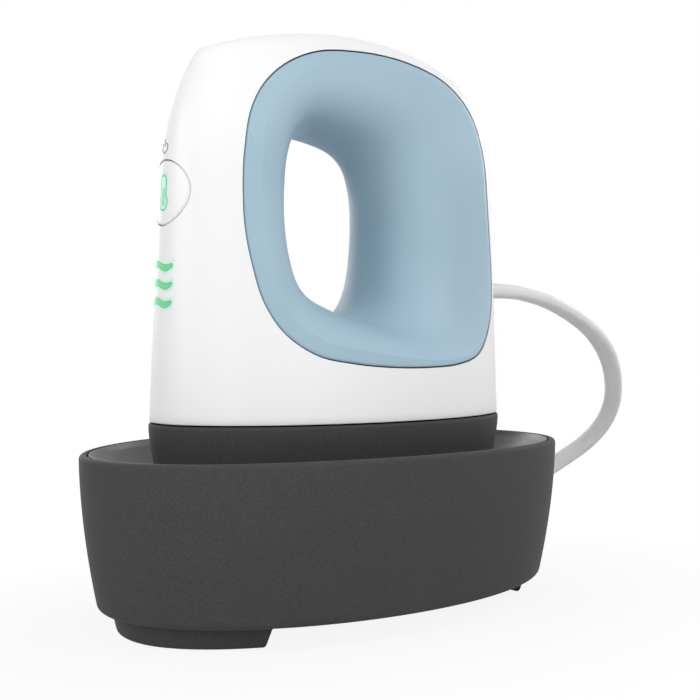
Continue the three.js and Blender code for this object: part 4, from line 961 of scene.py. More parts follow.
def numbered(stem: str, count: int) -> list[str]:
    """The names of nodes that differ by their number."""
    return [f"{stem}_{number}" for number in range(1, count + 1)]


def dress(finish: Finish, *nodes: str) -> None:
    """Gives frame nodes that stay shown a finish.

    Args:
        finish: the finish.
        nodes: the nodes' names.
    """
    for node in nodes:
        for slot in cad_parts[node].material_slots:
            slot.material = finish.material()
    LOG.info("%s on %d frame nodes", finish.name, len(nodes))


@dataclass
class Studio:
    """The camera at the photograph's angle, the floor, the world and the lamps."""

    azimuth: float = 53.33
    distance: float = 256.32
    focal_pixels: float = 1141.67
    frame_pixels: float = 700.0
    eye_height: float = 59.85
    pitch: float = 0.52
    shift: float = 3.48
    floor_reach: float = 4000.0
    floor_fade: float = 2.2
    floor_grey: float = 0.7
    floor_shadow: float = 0.1
    ambient: float = 0.02
    lamp_aim: float = 60.0
    lamp_distance: float = 720.0
    lamp_table: tuple[tuple[str, float, float, float, float], ...] = (
        ("front", -92.0, 20.0, 380.0, 1.8),
        ("key_low", -50.0, 10.0, 400.0, 0.55),
        ("key", -50.0, 35.0, 420.0, 0.75),
        ("side_low", 0.0, 6.0, 400.0, 0.5),
        ("side", -10.0, 30.0, 420.0, 0.55),
        ("side_rear", 30.0, 35.0, 400.0, 1.95),
        ("rear", 95.0, 18.0, 260.0, 0.8),
        ("top", -37.0, 75.0, 500.0, 0.75),
        ("left", 180.0, 20.0, 420.0, 1.5),
    )

    def camera(self) -> None:
        """Places the camera."""
        turn, tilt = math.radians(self.azimuth), math.radians(self.pitch)
        back = Vector((math.sin(turn), -math.cos(turn), 0.0))
        right = Vector((math.cos(turn), math.sin(turn), 0.0))
        ahead = -back * math.cos(tilt) - Vector((0.0, 0.0, math.sin(tilt)))
        up = right.cross(ahead)
        place = back * self.distance + right * self.shift + Vector((0.0, 0.0, self.eye_height))
        data = bpy.data.cameras.new("camera")
        data.sensor_width = 36.0
        data.lens = self.focal_pixels / self.frame_pixels * data.sensor_width
        data.clip_start = 0.01
        data.clip_end = 50.0
        made = bpy.data.objects.new("camera", data)
        turned = Matrix((right, up, -ahead)).transposed().to_4x4()
        made.matrix_world = Matrix.Translation(place * MM) @ turned
        bpy.context.scene.collection.objects.link(made)
        bpy.context.scene.camera = made

    def _lamp(self, name: str, azimuth: float, height: float, size: float, power: float) -> None:
        """Adds a square lamp that looks at the press.

        Args:
            name: its name.
            azimuth: the way it stands in, in degrees from +X towards +Y.
            height: how far above the level it stands, in degrees.
            size: its side, in millimetres.
            power: in watts.
        """
        turn, lift = math.radians(azimuth), math.radians(height)
        way = Vector((math.cos(turn) * math.cos(lift), math.sin(turn) * math.cos(lift), math.sin(lift)))
        data = bpy.data.lights.new(name, "AREA")
        data.size = size * MM
        data.energy = power
        lamp = bpy.data.objects.new(name, data)
        place = Vector((0.0, 0.0, self.lamp_aim)) + way * self.lamp_distance
        turned = (-way).to_track_quat("-Z", "Y").to_matrix().to_4x4()
        lamp.matrix_world = Matrix.Translation(place * MM) @ turned
        bpy.context.scene.collection.objects.link(lamp)

    def lamps(self) -> None:
        """Sets the soft studio lamps."""
        for lamp in self.lamp_table:
            self._lamp(*lamp)

    def _seen(self, graph: Graph) -> Value:
        """One where the eye looks, straight, in a reflection or through something clear."""
        seen = graph.node("ShaderNodeLightPath", out="Is Camera Ray")
        for way in ("Is Glossy Ray", "Is Transmission Ray"):
            seen = seen.most(graph.node("ShaderNodeLightPath", out=way))
        return seen

    def world(self) -> None:
        """Writes a white surround that lights the press at a plain level."""
        world = bpy.data.worlds.new("surround")
        bpy.context.scene.world = world
        graph = Graph(world)
        strength = self._seen(graph) * (1.0 - self.ambient) + self.ambient
        light = graph.node("ShaderNodeBackground", inputs={"Color": WHITE, "Strength": strength})
        graph.node("ShaderNodeOutputWorld", inputs={"Surface": light})

    def floor(self) -> None:
        """Lays a white floor that keeps the shadow of the press and fades to plain white around it."""
        bm = bmesh.new()
        bmesh.ops.create_grid(bm, x_segments=2, y_segments=2, size=self.floor_reach)
        bmesh.ops.scale(bm, vec=(MM, MM, MM), verts=bm.verts)
        mesh = bpy.data.meshes.new("floor")
        bm.to_mesh(mesh)
        bm.free()
        material = bpy.data.materials.new("floor_white")
        graph = Graph(material)
        matt = graph.node("ShaderNodeBsdfDiffuse", inputs={"Color": (*(self.floor_grey,) * 3, 1.0)})
        glow = graph.node("ShaderNodeEmission", inputs={"Color": WHITE, "Strength": 1.0})
        base = SafetyBase()
        x, y, _ = (part / MM for part in graph.parts(graph.place()))
        x, y = x / base.rim_half_width, y / base.rim_half_length
        away = graph.ramp((x * x + y * y) ** 0.5, 1.0, self.floor_fade)
        share = self._seen(graph) * (away * self.floor_shadow + (1.0 - self.floor_shadow))
        mixed = graph.node("ShaderNodeMixShader", inputs={0: share, 1: matt, 2: glow})
        graph.node("ShaderNodeOutputMaterial", inputs={"Surface": mixed})
        mesh.materials.append(material)
        made = bpy.data.objects.new("floor", mesh)
        bpy.context.scene.collection.objects.link(made)

    def build(self) -> None:
        """Sets up the whole studio."""
        bpy.context.scene.view_settings.view_transform = "Standard"
        self.camera()
        self.lamps()
        self.world()
        self.floor()


@dataclass
class SupplyLead:
    """The flat twin lead with its coil, strap and plug."""

    width: float = 5.0
    thickness: float = 3.2
    squareness: float = 2.8
    exit_y: float = 58.6
    exit_z: float = 71.6
    rest_z: float = 3.5
    route: tuple[tuple[float, float, float], ...] = (
        (0.0, 58.6, 71.6), (0.0, 66.1, 70.3), (-0.8, 72.7, 68.7), (-2.2, 81.8, 65.7),
        (-4.0, 90.1, 62.2), (-6.4, 97.0, 58.5), (-9.6, 103.9, 53.8), (-14.0, 110.7, 47.6),
        (-19.0, 115.9, 40.9), (-25.0, 118.6, 34.2), (-31.5, 118.4, 28.2), (-38.0, 115.1, 22.7),
        (-43.5, 109.2, 17.2), (-47.5, 101.1, 12.1), (-49.6, 91.5, 7.6), (-49.6, 81.5, 4.9),
        (-48.4, 71.5, 3.8), (-46.6, 62.0, 3.5), (-45.2, 53.0, 3.5), (-45.0, 43.5, 3.5),
        (-45.0, 33.3, 3.5),
    )
    route_steps: int = 110
    coil_x: float = -84.0
    coil_y: float = 28.0
    coil_radius: float = 39.0
    coil_pitch: float = 5.0
    coil_turns: float = 4.5417
    coil_rise: float = 5.7
    coil_steps: int = 36
    twist: tuple[Point2, ...] = (
        (72.0, 0.0), (68.0, 2.0), (62.5, 6.0), (58.0, 13.0), (54.0, 9.0), (47.0, -4.0),
        (42.0, -20.0), (37.0, -42.0), (33.0, -62.0), (28.5, -80.0), (24.0, -90.0),
    )
    free_top: float = 70.0
    free_bottom: float = 13.0
    strap_power: float = 7.0
    strap_web: float = 0.6
    strap_edge: Point2 = (0.3, 0.25)
    plug_neck: float = 27.0
    plug_length: float = 26.0
    plug_half_width: float = 11.05
    groove_start: float = 8.5
    groove_step: float = 2.6
    groove_radius: float = 0.7
    groove_reach: float = 6.0
    prong_size: tuple[float, float, float] = (1.5, 22.0, 6.3)
    prong_apart: float = 6.35
    prong_out: float = 6.0
    prong_bevel: float = 0.5
    hole_out: float = 12.5
    hole_radius: float = 1.5

    def coil_point(self, turn: float) -> Vector:
        """A point of the coil's middle line: in along the lower layer, up, and out along the upper one.

        Args:
            turn: how many turns from the start.

        Returns:
            The point, in millimetres.
        """
        inner = self.coil_radius - self.coil_pitch * self.coil_turns
        radius = self.coil_radius - self.coil_pitch * turn
        rise = 0.0
        past = min(max(turn - self.coil_turns, 0.0), 0.5)
        if past > 0:
            share = past * 2
            radius = inner - self.coil_pitch * past + 2 * self.coil_pitch * past * past
            rise = self.coil_rise * share * share * (3 - 2 * share)
        if turn > self.coil_turns + 0.5:
            radius = inner + self.coil_pitch * (turn - self.coil_turns - 0.5)
        angle = -turn * math.tau
        across, along = radius * math.cos(angle), radius * math.sin(angle)
        return Vector((self.coil_x + across, self.coil_y + along, self.rest_z + rise))

    def all_turns(self) -> float:
        """The number of turns in both layers."""
        return 2 * self.coil_turns + 0.5

    def end(self) -> tuple[Vector, Vector]:
        """The coil's end and the way it heads there."""
        turns = self.all_turns()
        angle = -turns * math.tau
        return self.coil_point(turns), Vector((math.sin(angle), -math.cos(angle), 0.0))

    def path(self) -> list[Vector]:
        """The whole middle line, from the press to the plug, in millimetres."""
        points = [Vector(point) for point in self.route]
        free = [along_curve(points, i / self.route_steps, False) for i in range(self.route_steps)]
        steps = round(self.all_turns() * self.coil_steps)
        coil = [self.coil_point(self.all_turns() * i / steps) for i in range(steps + 1)]
        last, heading = self.end()
        return [*free, points[-1], *coil, last + heading * self.width]

    def length(self) -> float:
        """The lead's length, in millimetres."""
        path = self.path()
        return sum((second - first).length for first, second in zip(path, path[1:]))

    def _roll(self, height: float, along: int) -> float:
        """How far the flat lead has turned on edge, as its twist says by height; it stands so in the coil.

        Args:
            height: the height of its middle line.
            along: the number of the point on its middle line.

        Returns:
            The angle.
        """
        if along <= self.route_steps:
            for (high, before), (low, after) in zip(self.twist, self.twist[1:]):
                if height >= low:
                    share = min(max((high - height) / (high - low), 0.0), 1.0)
                    return math.radians(before + (after - before) * share)
        return -math.pi / 2

    def _section(self, middle: Vector, ahead: Vector, roll: float) -> Section:
        """The lead's flat round-edged section.

        Args:
            middle: a point of its middle line.
            ahead: the way it heads there.
            roll: how far it has turned on edge.

        Returns:
            The section.
        """
        level = ahead.cross(UP).normalized()
        broad = level * math.cos(roll) + level.cross(ahead) * math.sin(roll)
        narrow = broad.cross(ahead)

        def point(angle: float) -> Vector:
            """One point of it."""
            across, up = superellipse(angle, self.width / 2, self.thickness / 2, self.squareness)
            return middle + broad * across + narrow * up

        return point

    def lead(self) -> bpy.types.Object:
        """Draws the lead along its middle line.

        Returns:
            The piece.
        """
        path = self.path()
        loft = Loft(24)
        for index, middle in enumerate(path):
            ahead = (path[min(index + 1, len(path) - 1)] - path[max(index - 1, 0)]).normalized()
            loft.through(self._section(middle, ahead, self._roll(middle.z, index)))
        nodes = ("cord_run", "cord_coil")
        piece = show("supply_lead", loft.closed(), LEAD_GREY, None, Slot.LEAD, nodes, sharp_degrees=60.0)
        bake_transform(piece)
        return piece

    def strap(self) -> bpy.types.Object:
        """Wraps the strap round the coil.

        Returns:
            The piece.
        """
        low, high = (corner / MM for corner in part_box("coil_tie"))
        middle, half = (low + high) / 2, (high - low) / 2

        def section(x: float, inset: float) -> Section:
            """The loop at a place across the strap."""

            def point(angle: float) -> Vector:
                """One point of it."""
                y, z = superellipse(angle, half.y - inset, half.z - inset, self.strap_power)
                return Vector((x, middle.y + y, middle.z + z))

            return point

        along, inward = self.strap_edge
        near = ((low.x, self.strap_web), (low.x, inward), (low.x + along, 0.0))
        far = ((high.x - along, 0.0), (high.x, inward), (high.x, self.strap_web))
        loft = Loft(96).through(*(section(*row) for row in (*near, *far)))
        return show("lead_strap", loft.looped(), STRAP, Body.BASE, Slot.RUBBER, ("coil_tie",))

    def _prong(self, side: int, face: float) -> bmesh.types.BMesh:
        """One prong of the plug, with its hole.

        Args:
            side: 1 or -1 for its side of the plug.
            face: where the plug's face stands, along it.

        Returns:
            The closed mesh.
        """
        prong = bmesh.new()
        bmesh.ops.create_cube(prong, size=1.0)
        bmesh.ops.scale(prong, vec=self.prong_size, verts=prong.verts)
        tips = [edge for edge in prong.edges if all(vert.co.y > 0 for vert in edge.verts)]
        bmesh.ops.bevel(
            prong, geom=tips, offset=self.prong_bevel, segments=3, profile=0.5, affect="EDGES", material=-1
        )
        x = side * self.prong_apart
        bmesh.ops.translate(prong, vec=(x, face + self.prong_out, 0.0), verts=prong.verts)
        hole = rod_along_y(0.0, -4.0, 4.0, self.hole_radius)
        bmesh.ops.rotate(hole, matrix=Matrix.Rotation(math.pi / 2, 3, "Z"), verts=hole.verts)
        bmesh.ops.translate(hole, vec=(x, face + self.hole_out, 0.0), verts=hole.verts)
        return combine(prong, hole, Boolean.CUT)

    def plug(self) -> list[bpy.types.Object]:
        """Builds the plug's moulding and its two prongs.

        Returns:
            The pieces.
        """
        start = self.width + GAP
        neck = start + self.plug_neck
        face = neck + self.plug_length
        rows = (
            (start, 2.0, 2.5, 2.0),
            (start + 6.0, 2.25, 2.6, 2.0),
            (start + 14.0, 2.6, 2.7, 2.0),
            (start + 20.0, 3.0, 2.9, 2.0),
            (neck - 2.0, 4.2, 3.7, 2.2),
            (neck + 0.5, 6.6, 5.6, 2.5),
            (neck + 3.0, 8.9, 6.9, 2.9),
            (neck + 6.0, 10.1, 7.6, 3.3),
            (neck + 9.0, 10.4, 7.9, 3.6),
            (neck + 13.0, 10.6, 8.0, 3.8),
            (neck + 17.0, 10.9, 8.2, 4.0),
            (neck + 20.5, 11.7, 8.4, 4.0),
            (face - 2.0, 12.0, 8.5, 4.0),
            (face - 0.6, 11.9, 8.4, 4.0),
            (face, 11.3, 7.8, 4.0),
        )
        end, heading = self.end()
        placed = Matrix.Translation(end) @ Matrix.Rotation(math.atan2(-heading.x, heading.y), 4, "Z")
        body = Loft(64).through(*(upright_ring(*row) for row in rows)).closed()
        for groove in range(4):
            y = neck + self.groove_start + groove * self.groove_step
            for side in (-1, 1):
                ridge = rod_along_y(0.0, -self.groove_reach, self.groove_reach, self.groove_radius)
                bmesh.ops.rotate(ridge, matrix=Matrix.Rotation(math.pi / 2, 3, "X"), verts=ridge.verts)
                bmesh.ops.translate(ridge, vec=(side * self.plug_half_width, y, 0.0), verts=ridge.verts)
                body = combine(body, ridge, Boolean.CUT)
        body.transform(placed)
        pieces = [show("plug_moulding", body, PLUG_GREY, Body.BASE, Slot.LEAD, ("plug_body",))]
        for number, side in ((1, 1), (2, -1)):
            prong = self._prong(side, face)
            prong.transform(placed)
            name, node = f"plug_prong_{number}", f"plug_blade_{number}"
            pieces.append(show(name, prong, PRONG_METAL, Body.BASE, Slot.STEEL, (node,)))
        return pieces

    def build(self) -> None:
        lead = self.lead()
        others = [self.strap(), *self.plug()]
        self.length() * MM
        [tuple(point * MM) for point in self.path()]


@dataclass
class Housing:
    """The white housing with the finger opening, the button and the lights."""

    bottom: float = 42.9
    top: float = 126.6
    half_length: float = 44.2
    half_width: float = 24.8
    length_taper: float = 0.015
    width_taper: float = 0.1
    lean: float = 0.0156
    roundness: float = 2.0
    shoulder_height: float = 25.4
    shoulder_along: float = 7.6
    shoulder_across: float = 9.7
    shoulder_power: float = 1.7
    wall: float = 2.2
    crown_length_radius: float = 93.0
    crown_width_radius: float = 35.0
    crown_y: float = 1.0
    crown_start: float = 50.0
    segments: int = 176
    button_z: float = 89.5
    button_radius: float = 6.5
    symbol_tube: float = 1.15
    symbol_bulb: float = 1.65
    symbol_half_height: float = 3.65
    print_z: float = 98.65
    seam_points: tuple[Point2, ...] = (
        (-31.7, 88.0), (-31.1, 97.2), (-29.2, 105.6), (-25.4, 112.0), (-19.5, 117.0), (-11.5, 120.5),
        (-2.0, 121.8), (8.0, 122.0), (17.0, 121.1), (24.5, 119.4), (30.4, 116.2), (34.3, 111.6),
        (35.7, 104.5), (36.0, 97.0), (36.4, 89.0), (36.9, 81.0), (37.1, 74.5), (35.7, 67.5),
        (32.2, 61.6), (26.8, 56.8), (18.5, 54.7), (8.0, 54.1), (-3.0, 54.3), (-12.0, 55.2),
        (-19.2, 56.8), (-25.2, 61.0), (-28.8, 67.0), (-30.8, 75.5), (-31.6, 82.0),
    )
    throat_points: tuple[Point2, ...] = (
        (-18.7, 85.0), (-18.3, 90.5), (-17.7, 95.6), (-16.6, 99.8), (-14.4, 102.9), (-11.2, 104.1),
        (-7.7, 103.8), (-4.4, 103.2), (-1.5, 102.5), (0.9, 101.6), (3.0, 100.3), (4.8, 98.4),
        (6.3, 95.3), (7.4, 91.0), (7.8, 85.7), (7.6, 80.4), (7.2, 76.4), (6.4, 72.2),
        (5.0, 68.6), (2.8, 65.9), (-0.2, 64.4), (-4.2, 64.9), (-8.0, 66.7), (-10.7, 68.1),
        (-12.8, 69.3), (-15.0, 70.8), (-16.9, 73.2), (-18.2, 77.5), (-18.6, 81.4),
    )
    lining_power: float = 2.0
    lining_wall: float = 1.5
    band_at_rear: float = 1.3
    band_growth: float = 0.034
    band_rear_y: float = 39.2
    band_fall: float = 0.3
    crease_degrees: float = 18.0
    band_least: float = 0.6
    band_fall_at_seam: float = 0.1
    band_edge: float = 0.35
    band_edge_fall: float = 0.3
    # painted shadow: a dark strip inside the seam's gap stands in for its shade
    shadow_strip_below: float = 0.4
    shadow_strip_depth: float = 1.2
    shadow_strip_clear: float = 0.04
    opening_reach: float = 32.0
    cut_ahead: float = 3.0
    cut_end: float = -34.5
    symbol_back: float = -41.0
    wave_back: float = -39.0
    symbol_rim: float = 0.32
    symbol_gap: float = 0.05
    window_gap: float = 0.02
    wave_gap: float = 0.12
    gland_size: Point2 = (3.3, 2.25)
    gland_span: Point2 = (36.0, 50.0)
    hidden_steps: int = 8
    face_steps: int = 36
    lead_z: float = 72.0
    relief_droop: float = 0.4
    relief_droop_from: float = 47.0
    relief_end: float = 58.6
    seam: list[Vector] = field(default_factory=list)
    throat: list[Vector] = field(default_factory=list)

    def __post_init__(self) -> None:
        """Turns the outlines' points into vectors."""
        self.seam = [Vector((0.0, y, z)) for y, z in self.seam_points]
        self.throat = [Vector((0.0, y, z)) for y, z in self.throat_points]

    def half_sizes(self, level: float, inset: float) -> tuple[float, float, float]:
        """The housing's size at a level.

        Args:
            level: the height before the crown falls.
            inset: how far inside the outer face.

        Returns:
            Half-length, half-width and the middle's place along Y.
        """
        share = (level - self.top + self.shoulder_height) / (self.shoulder_height - inset)
        share = min(max(share, 0.0), 1.0)
        rounding = 1 - (1 - share**self.shoulder_power) ** (1 / self.shoulder_power)
        rise = level - self.bottom
        return (
            self.half_length - self.length_taper * rise - inset - self.shoulder_along * rounding,
            self.half_width - self.width_taper * rise - inset - self.shoulder_across * rounding,
            self.lean * rise,
        )

    def crown_fall(self, level: float, x: float, y: float) -> float:
        """How far the crowned top falls below a level at a place."""
        share = min(max((level - self.crown_start) / (self.top - self.crown_start), 0.0), 1.0)
        along = (y - self.crown_y) ** 2 / (2 * self.crown_length_radius)
        return share * share * (along + x * x / (2 * self.crown_width_radius))

    def ring(self, level: float, inset: float, scale: float = 1.0) -> Section:
        """The housing's section at a level.

        Args:
            level: the height before the crown falls.
            inset: how far inside the outer face.
            scale: smaller than one on the flat of the crown.

        Returns:
            The section.
        """
        half_length, half_width, middle = self.half_sizes(level, inset)

        def point(angle: float) -> Vector:
            """One point of it."""
            x, y = superellipse(angle, half_width * scale, half_length * scale, self.roundness)
            y += middle
            return Vector((x, y, level - self.crown_fall(level, x, y)))

        return point

    def half_width_at(self, y: float, z: float) -> float:
        """Half-width of the outer face at a place seen from the side, closed in on in a few rounds."""
        level, half = z, 0.0
        for _ in range(14):
            level = min(z + self.crown_fall(level, half, y), self.top)
            half_length, half_width, middle = self.half_sizes(level, 0.0)
            along = min(abs(y - middle) / half_length, 1.0)
            half = half_width * (1 - along**self.roundness) ** (1 / self.roundness)
        return half

    def front_y(self, x: float, z: float) -> float:
        """Where the front of the outer face stands at a place seen from the front, found alike."""
        level, y = z, 0.0
        for _ in range(14):
            half_length, half_width, middle = self.half_sizes(level, 0.0)
            across = min(abs(x) / half_width, 1.0)
            y = middle - half_length * (1 - across**self.roundness) ** (1 / self.roundness)
            level = min(z + self.crown_fall(level, x, y), self.top)
        return y

    def _climb(self, loft: Loft, inset: float, upwards: bool, steps: int) -> None:
        """Draws a loft up or down the housing's face.

        Args:
            loft: the loft.
            inset: how far inside the outer face.
            upwards: whether it goes up.
            steps: how many rings the straight part has.
        """
        top = self.top - inset
        low = self.top - self.shoulder_height
        straight = [(self.bottom + (low - self.bottom) * (i + 1) / steps, 1.0) for i in range(steps)]
        turns = [math.pi / 2 * (i + 1) / 24 for i in range(24)]
        rounded = [(low + (top - low) * math.sin(turn), 1.0) for turn in turns]
        flat = [(top, 1.0 - 0.05 * (i + 1)) for i in range(19)]
        rows = [*straight, *rounded, *flat]
        for level, scale in rows if upwards else reversed(rows):
            loft.through(self.ring(level, inset, scale))

    def solid(self) -> bmesh.types.BMesh:
        """The housing without any opening, as one filled body."""
        loft = Loft(self.segments).through(self.ring(self.bottom, 0.0))
        self._climb(loft, 0.0, True, self.face_steps)
        hub = Vector((0.0, self.half_sizes(self.top, 0.0)[2], 0.0))
        hub.z = self.top - self.crown_fall(self.top, 0.0, hub.y)
        return loft.closed(last=hub)

    def seam_at(self, angle: float, grow: float = 0.0) -> Vector:
        """A point of the opening's seam, grown outwards.

        Args:
            angle: from 0 to a full turn.
            grow: how far outwards.

        Returns:
            The point, with no x.
        """
        share = angle / math.tau % 1.0
        point = along_curve(self.seam, share, True)
        if grow == 0.0:
            return point
        ahead = along_curve(self.seam, (share + 0.002) % 1.0, True)
        behind = along_curve(self.seam, (share - 0.002) % 1.0, True)
        along = (ahead - behind).normalized()
        return point + Vector((0.0, -along.z, along.y)) * grow

    def _opening(self) -> bmesh.types.BMesh:
        """The body that cuts the finger opening."""
        loft = Loft(180)
        for x in (-self.opening_reach, self.opening_reach):
            loft.through(lambda angle, x=x: self.seam_at(angle, GAP) + Vector((x, 0.0, 0.0)))
        return loft.closed()

    def _drawn(self, outline: Outline, back: float) -> bmesh.types.BMesh:
        """An outline drawn in from before the front."""
        return prism_along_y(outline, -self.half_length - self.cut_ahead, back)

    def _inlay(self, outline: Outline, back: float) -> bmesh.types.BMesh:
        """A body whose front carries on the housing's face."""
        return combine(self._drawn(outline, back), self.solid(), Boolean.COMMON)

    def wave(self, height: float, grow: float) -> Outline:
        """The outline of one wave.

        Args:
            height: its middle height.
            grow: how much larger than the wave itself.

        Returns:
            A point for each angle, as x and z.
        """

        def point(angle: float) -> Point2:
            """One point: along the wave's line, with round ends."""
            reach, half = WAVES.half_width + grow, WAVES.half_stroke + grow
            x, side = superellipse(angle, reach, half, WAVES.end_power)
            line = -WAVES.swing * math.sin(x / WAVES.half_width * math.pi)
            return x, height + line + side

        return point

    def symbol(self, grow: float) -> Outline:
        """The outline of the thermometer on the button, grown outwards.

        Args:
            grow: how much larger.

        Returns:
            A point for each angle, as x and z.
        """
        tube, bulb = self.symbol_tube + grow, self.symbol_bulb + grow
        tube_z = self.button_z + self.symbol_half_height - self.symbol_tube
        bulb_z = self.button_z - self.symbol_half_height + self.symbol_bulb
        neck = math.acos(tube / bulb)
        neck_z = bulb_z + bulb * math.sin(neck)

        def point(angle: float) -> Point2:
            """One point: up over the tube's end and down round the bulb."""
            share = angle / math.tau
            if share < 0.35:
                turn = share / 0.35 * math.pi
                return tube * math.cos(turn), tube_z + tube * math.sin(turn)
            if share < 0.5:
                return -tube, tube_z + (neck_z - tube_z) * (share - 0.35) / 0.15
            if share < 0.85:
                turn = math.pi - neck + (share - 0.5) / 0.35 * (math.pi + 2 * neck)
                return bulb * math.cos(turn), bulb_z + bulb * math.sin(turn)
            return tube, neck_z + (tube_z - neck_z) * (share - 0.85) / 0.15

        return point

    def shell(self) -> None:
        """Builds the housing with its openings."""
        loft = Loft(self.segments)
        self._climb(loft, self.wall, False, self.hidden_steps)
        for rise, inset in ((0.0, self.wall), (0.0, 0.45), (0.08, 0.14), (0.4, 0.0)):
            loft.through(self.ring(self.bottom + rise, inset))
        self._climb(loft, 0.0, True, self.face_steps)
        front = -self.half_length - self.cut_ahead
        gland = (upright_ring(y, *self.gland_size, 2.0, self.lead_z) for y in self.gland_span)
        body = loft.closed()
        for tool in (
            self._opening(),
            rod_along_y(self.button_z, front, self.cut_end, self.button_radius + GAP),
            *(self._drawn(self.wave(height, self.wave_gap), self.cut_end) for height in WAVES.heights),
            Loft(48).through(*gland).closed(),
        ):
            body = combine(body, tool, Boolean.CUT)
        show("housing_shell", body, HOUSING_WHITE, Body.PRESS, Slot.WHITE, ("outer_shell",))

    def _lining_section(self, step: float, side: int, depth: float) -> Section:
        """The lining's section.

        Args:
            step: 0 at the seam's foot, 1 at the crease and 2 at the throat.
            side: 1 or -1 for the side of the press.
            depth: how far behind the visible skin.

        Returns:
            The section.
        """

        def point(angle: float) -> Vector:
            """One point of it."""
            seam = self.seam_at(angle)
            across = along_curve(self.throat, angle / math.tau % 1.0, True) - seam
            reach = across.length
            inward = across.normalized()
            band = max(self.band_at_rear + self.band_growth * (self.band_rear_y - seam.y), self.band_least)
            if step <= 1.0:
                along, shrink = band * step, 1.0
                edge = max(0.0, 1.0 - along / self.band_edge)
                fall = self.band_fall_at_seam + (self.band_fall - self.band_fall_at_seam) * step
                fall += self.band_edge_fall * edge * edge
            else:
                turn = (step - 1.0) * math.pi / 2
                into = math.sin(turn) ** (2 / self.lining_power)
                along = band + (reach - band) * into
                crease = math.tan(math.radians(self.crease_degrees)) * (reach - band)
                fall = self.band_fall + crease * into * (1.0 - into) ** 2
                shrink = max(math.cos(turn), 0.0) ** (2 / self.lining_power)
            place = seam + inward * along
            x = max(self.half_width_at(place.y, place.z) - fall, 0.0) * shrink
            along *= (reach - depth) / reach
            x = max(x - depth * min(x / 3.0, 1.0), 0.0)
            spot = seam + inward * along
            return Vector((side * x, spot.y, spot.z))

        return point

    def lining(self) -> None:
        """Builds the blue lining: a rim band along the seam, a soft crease and a funnel to the throat."""
        band_steps = (0.0, 0.03, 0.08, 0.2, 0.4, 0.6, 0.8, 0.9, 0.97)
        funnel_steps = (1.0, 1.006, 1.015, *(1.03 + 0.97 * i / 36 for i in range(36)))
        seen, behind = (*band_steps, *funnel_steps), (0.0, 1.0, 1.3, 1.6, 1.9)
        route = (
            *((step, 1, 0.0) for step in (*seen, 2.0)),
            *((step, -1, 0.0) for step in reversed(seen)),
            *((step, -1, self.lining_wall) for step in behind),
            *((step, 1, self.lining_wall) for step in (2.0, *reversed(behind))),
        )
        loft = Loft(180).through(*(self._lining_section(*stop) for stop in route))
        nodes = ("right_grip_liner", "left_grip_liner")
        show("grip_lining", loft.looped(), GRIP_BLUE, Body.PRESS, Slot.GRIP, nodes, sharp_degrees=50.0)

    def _shadow_strip_section(self, side: int, below: float, grow: float) -> Section:
        """One edge of a dark strip that is painted shadow in the seam's gap.

        Args:
            side: 1 or -1 for the side of the press.
            below: how far inside the housing's face.
            grow: how far outside the seam.

        Returns:
            The section.
        """

        def point(angle: float) -> Vector:
            """One point of it."""
            spot = self.seam_at(angle, grow)
            return Vector((side * (self.half_width_at(spot.y, spot.z) - below), spot.y, spot.z))

        return point

    def shadow_strips(self) -> None:
        """Lays a dark strip in the gap between the housing and each half of the lining, as painted shadow
        where the gap has only shade.
        """
        near, far = self.shadow_strip_clear, GAP - self.shadow_strip_clear
        high, low = self.shadow_strip_below, self.shadow_strip_below + self.shadow_strip_depth
        corners = ((high, near), (high, far), (low, far), (low, near))
        for name, side in (("right", 1), ("left", -1)):
            loft = Loft(180).through(*(self._shadow_strip_section(side, *corner) for corner in corners))
            # painted shadow: a dark strip in the seam's gap
            show(f"seam_shadow_strip_{name}", loft.looped(), RUBBER, Body.PRESS, Slot.RUBBER)

    def button(self) -> None:
        """Builds the round button, whose face carries on the housing's, and its lit symbol."""

        def section(radius: float, behind: float = 0.0) -> Section:
            """A ring of the button's face."""

            def point(angle: float) -> Vector:
                """One point of it."""
                x, z = radius * math.cos(angle), self.button_z + radius * math.sin(angle)
                return Vector((x, self.front_y(x, z) + behind, z))

            return point

        edge = ((0.0, 2.6), (0.0, 0.5), (0.04, 0.28), (0.14, 0.12), (0.3, 0.03), (0.5, 0.0))
        face = (5.4, 4.6, 3.8, 3.0, 2.2, 1.4, 0.6)
        loft = Loft(96).through(*(section(self.button_radius - inset, rise) for inset, rise in edge))
        loft.through(*(section(radius) for radius in face))
        body = loft.closed(last=Vector((0.0, self.front_y(0.0, self.button_z), self.button_z)))
        body = combine(body, self._drawn(self.symbol(self.symbol_gap), self.cut_end), Boolean.CUT)
        show("front_button", body, HOUSING_WHITE, Body.BUTTON, Slot.WHITE, ("power_button",))
        rim = self._inlay(self.symbol(0.0), self.symbol_back)
        rim = combine(rim, self._drawn(self.symbol(-self.symbol_rim), self.cut_end), Boolean.CUT)
        show("symbol_rim", rim, SYMBOL_EDGE, Body.BUTTON, Slot.LIGHT, ("button_lens",))
        core = self._inlay(self.symbol(-self.symbol_rim - self.window_gap), self.symbol_back)
        show("symbol_window", core, SYMBOL_GREEN, Body.BUTTON, Slot.LIGHT)

    def lights(self) -> None:
        """Builds the three lit waves."""
        for number, height in enumerate(WAVES.heights, 1):
            wave = self._inlay(self.wave(height, 0.0), self.wave_back)
            node = f"wave_light_{number}"
            show(f"lit_wave_{number}", wave, WAVE_GREEN, Body.PRESS, Slot.LIGHT, (node,))

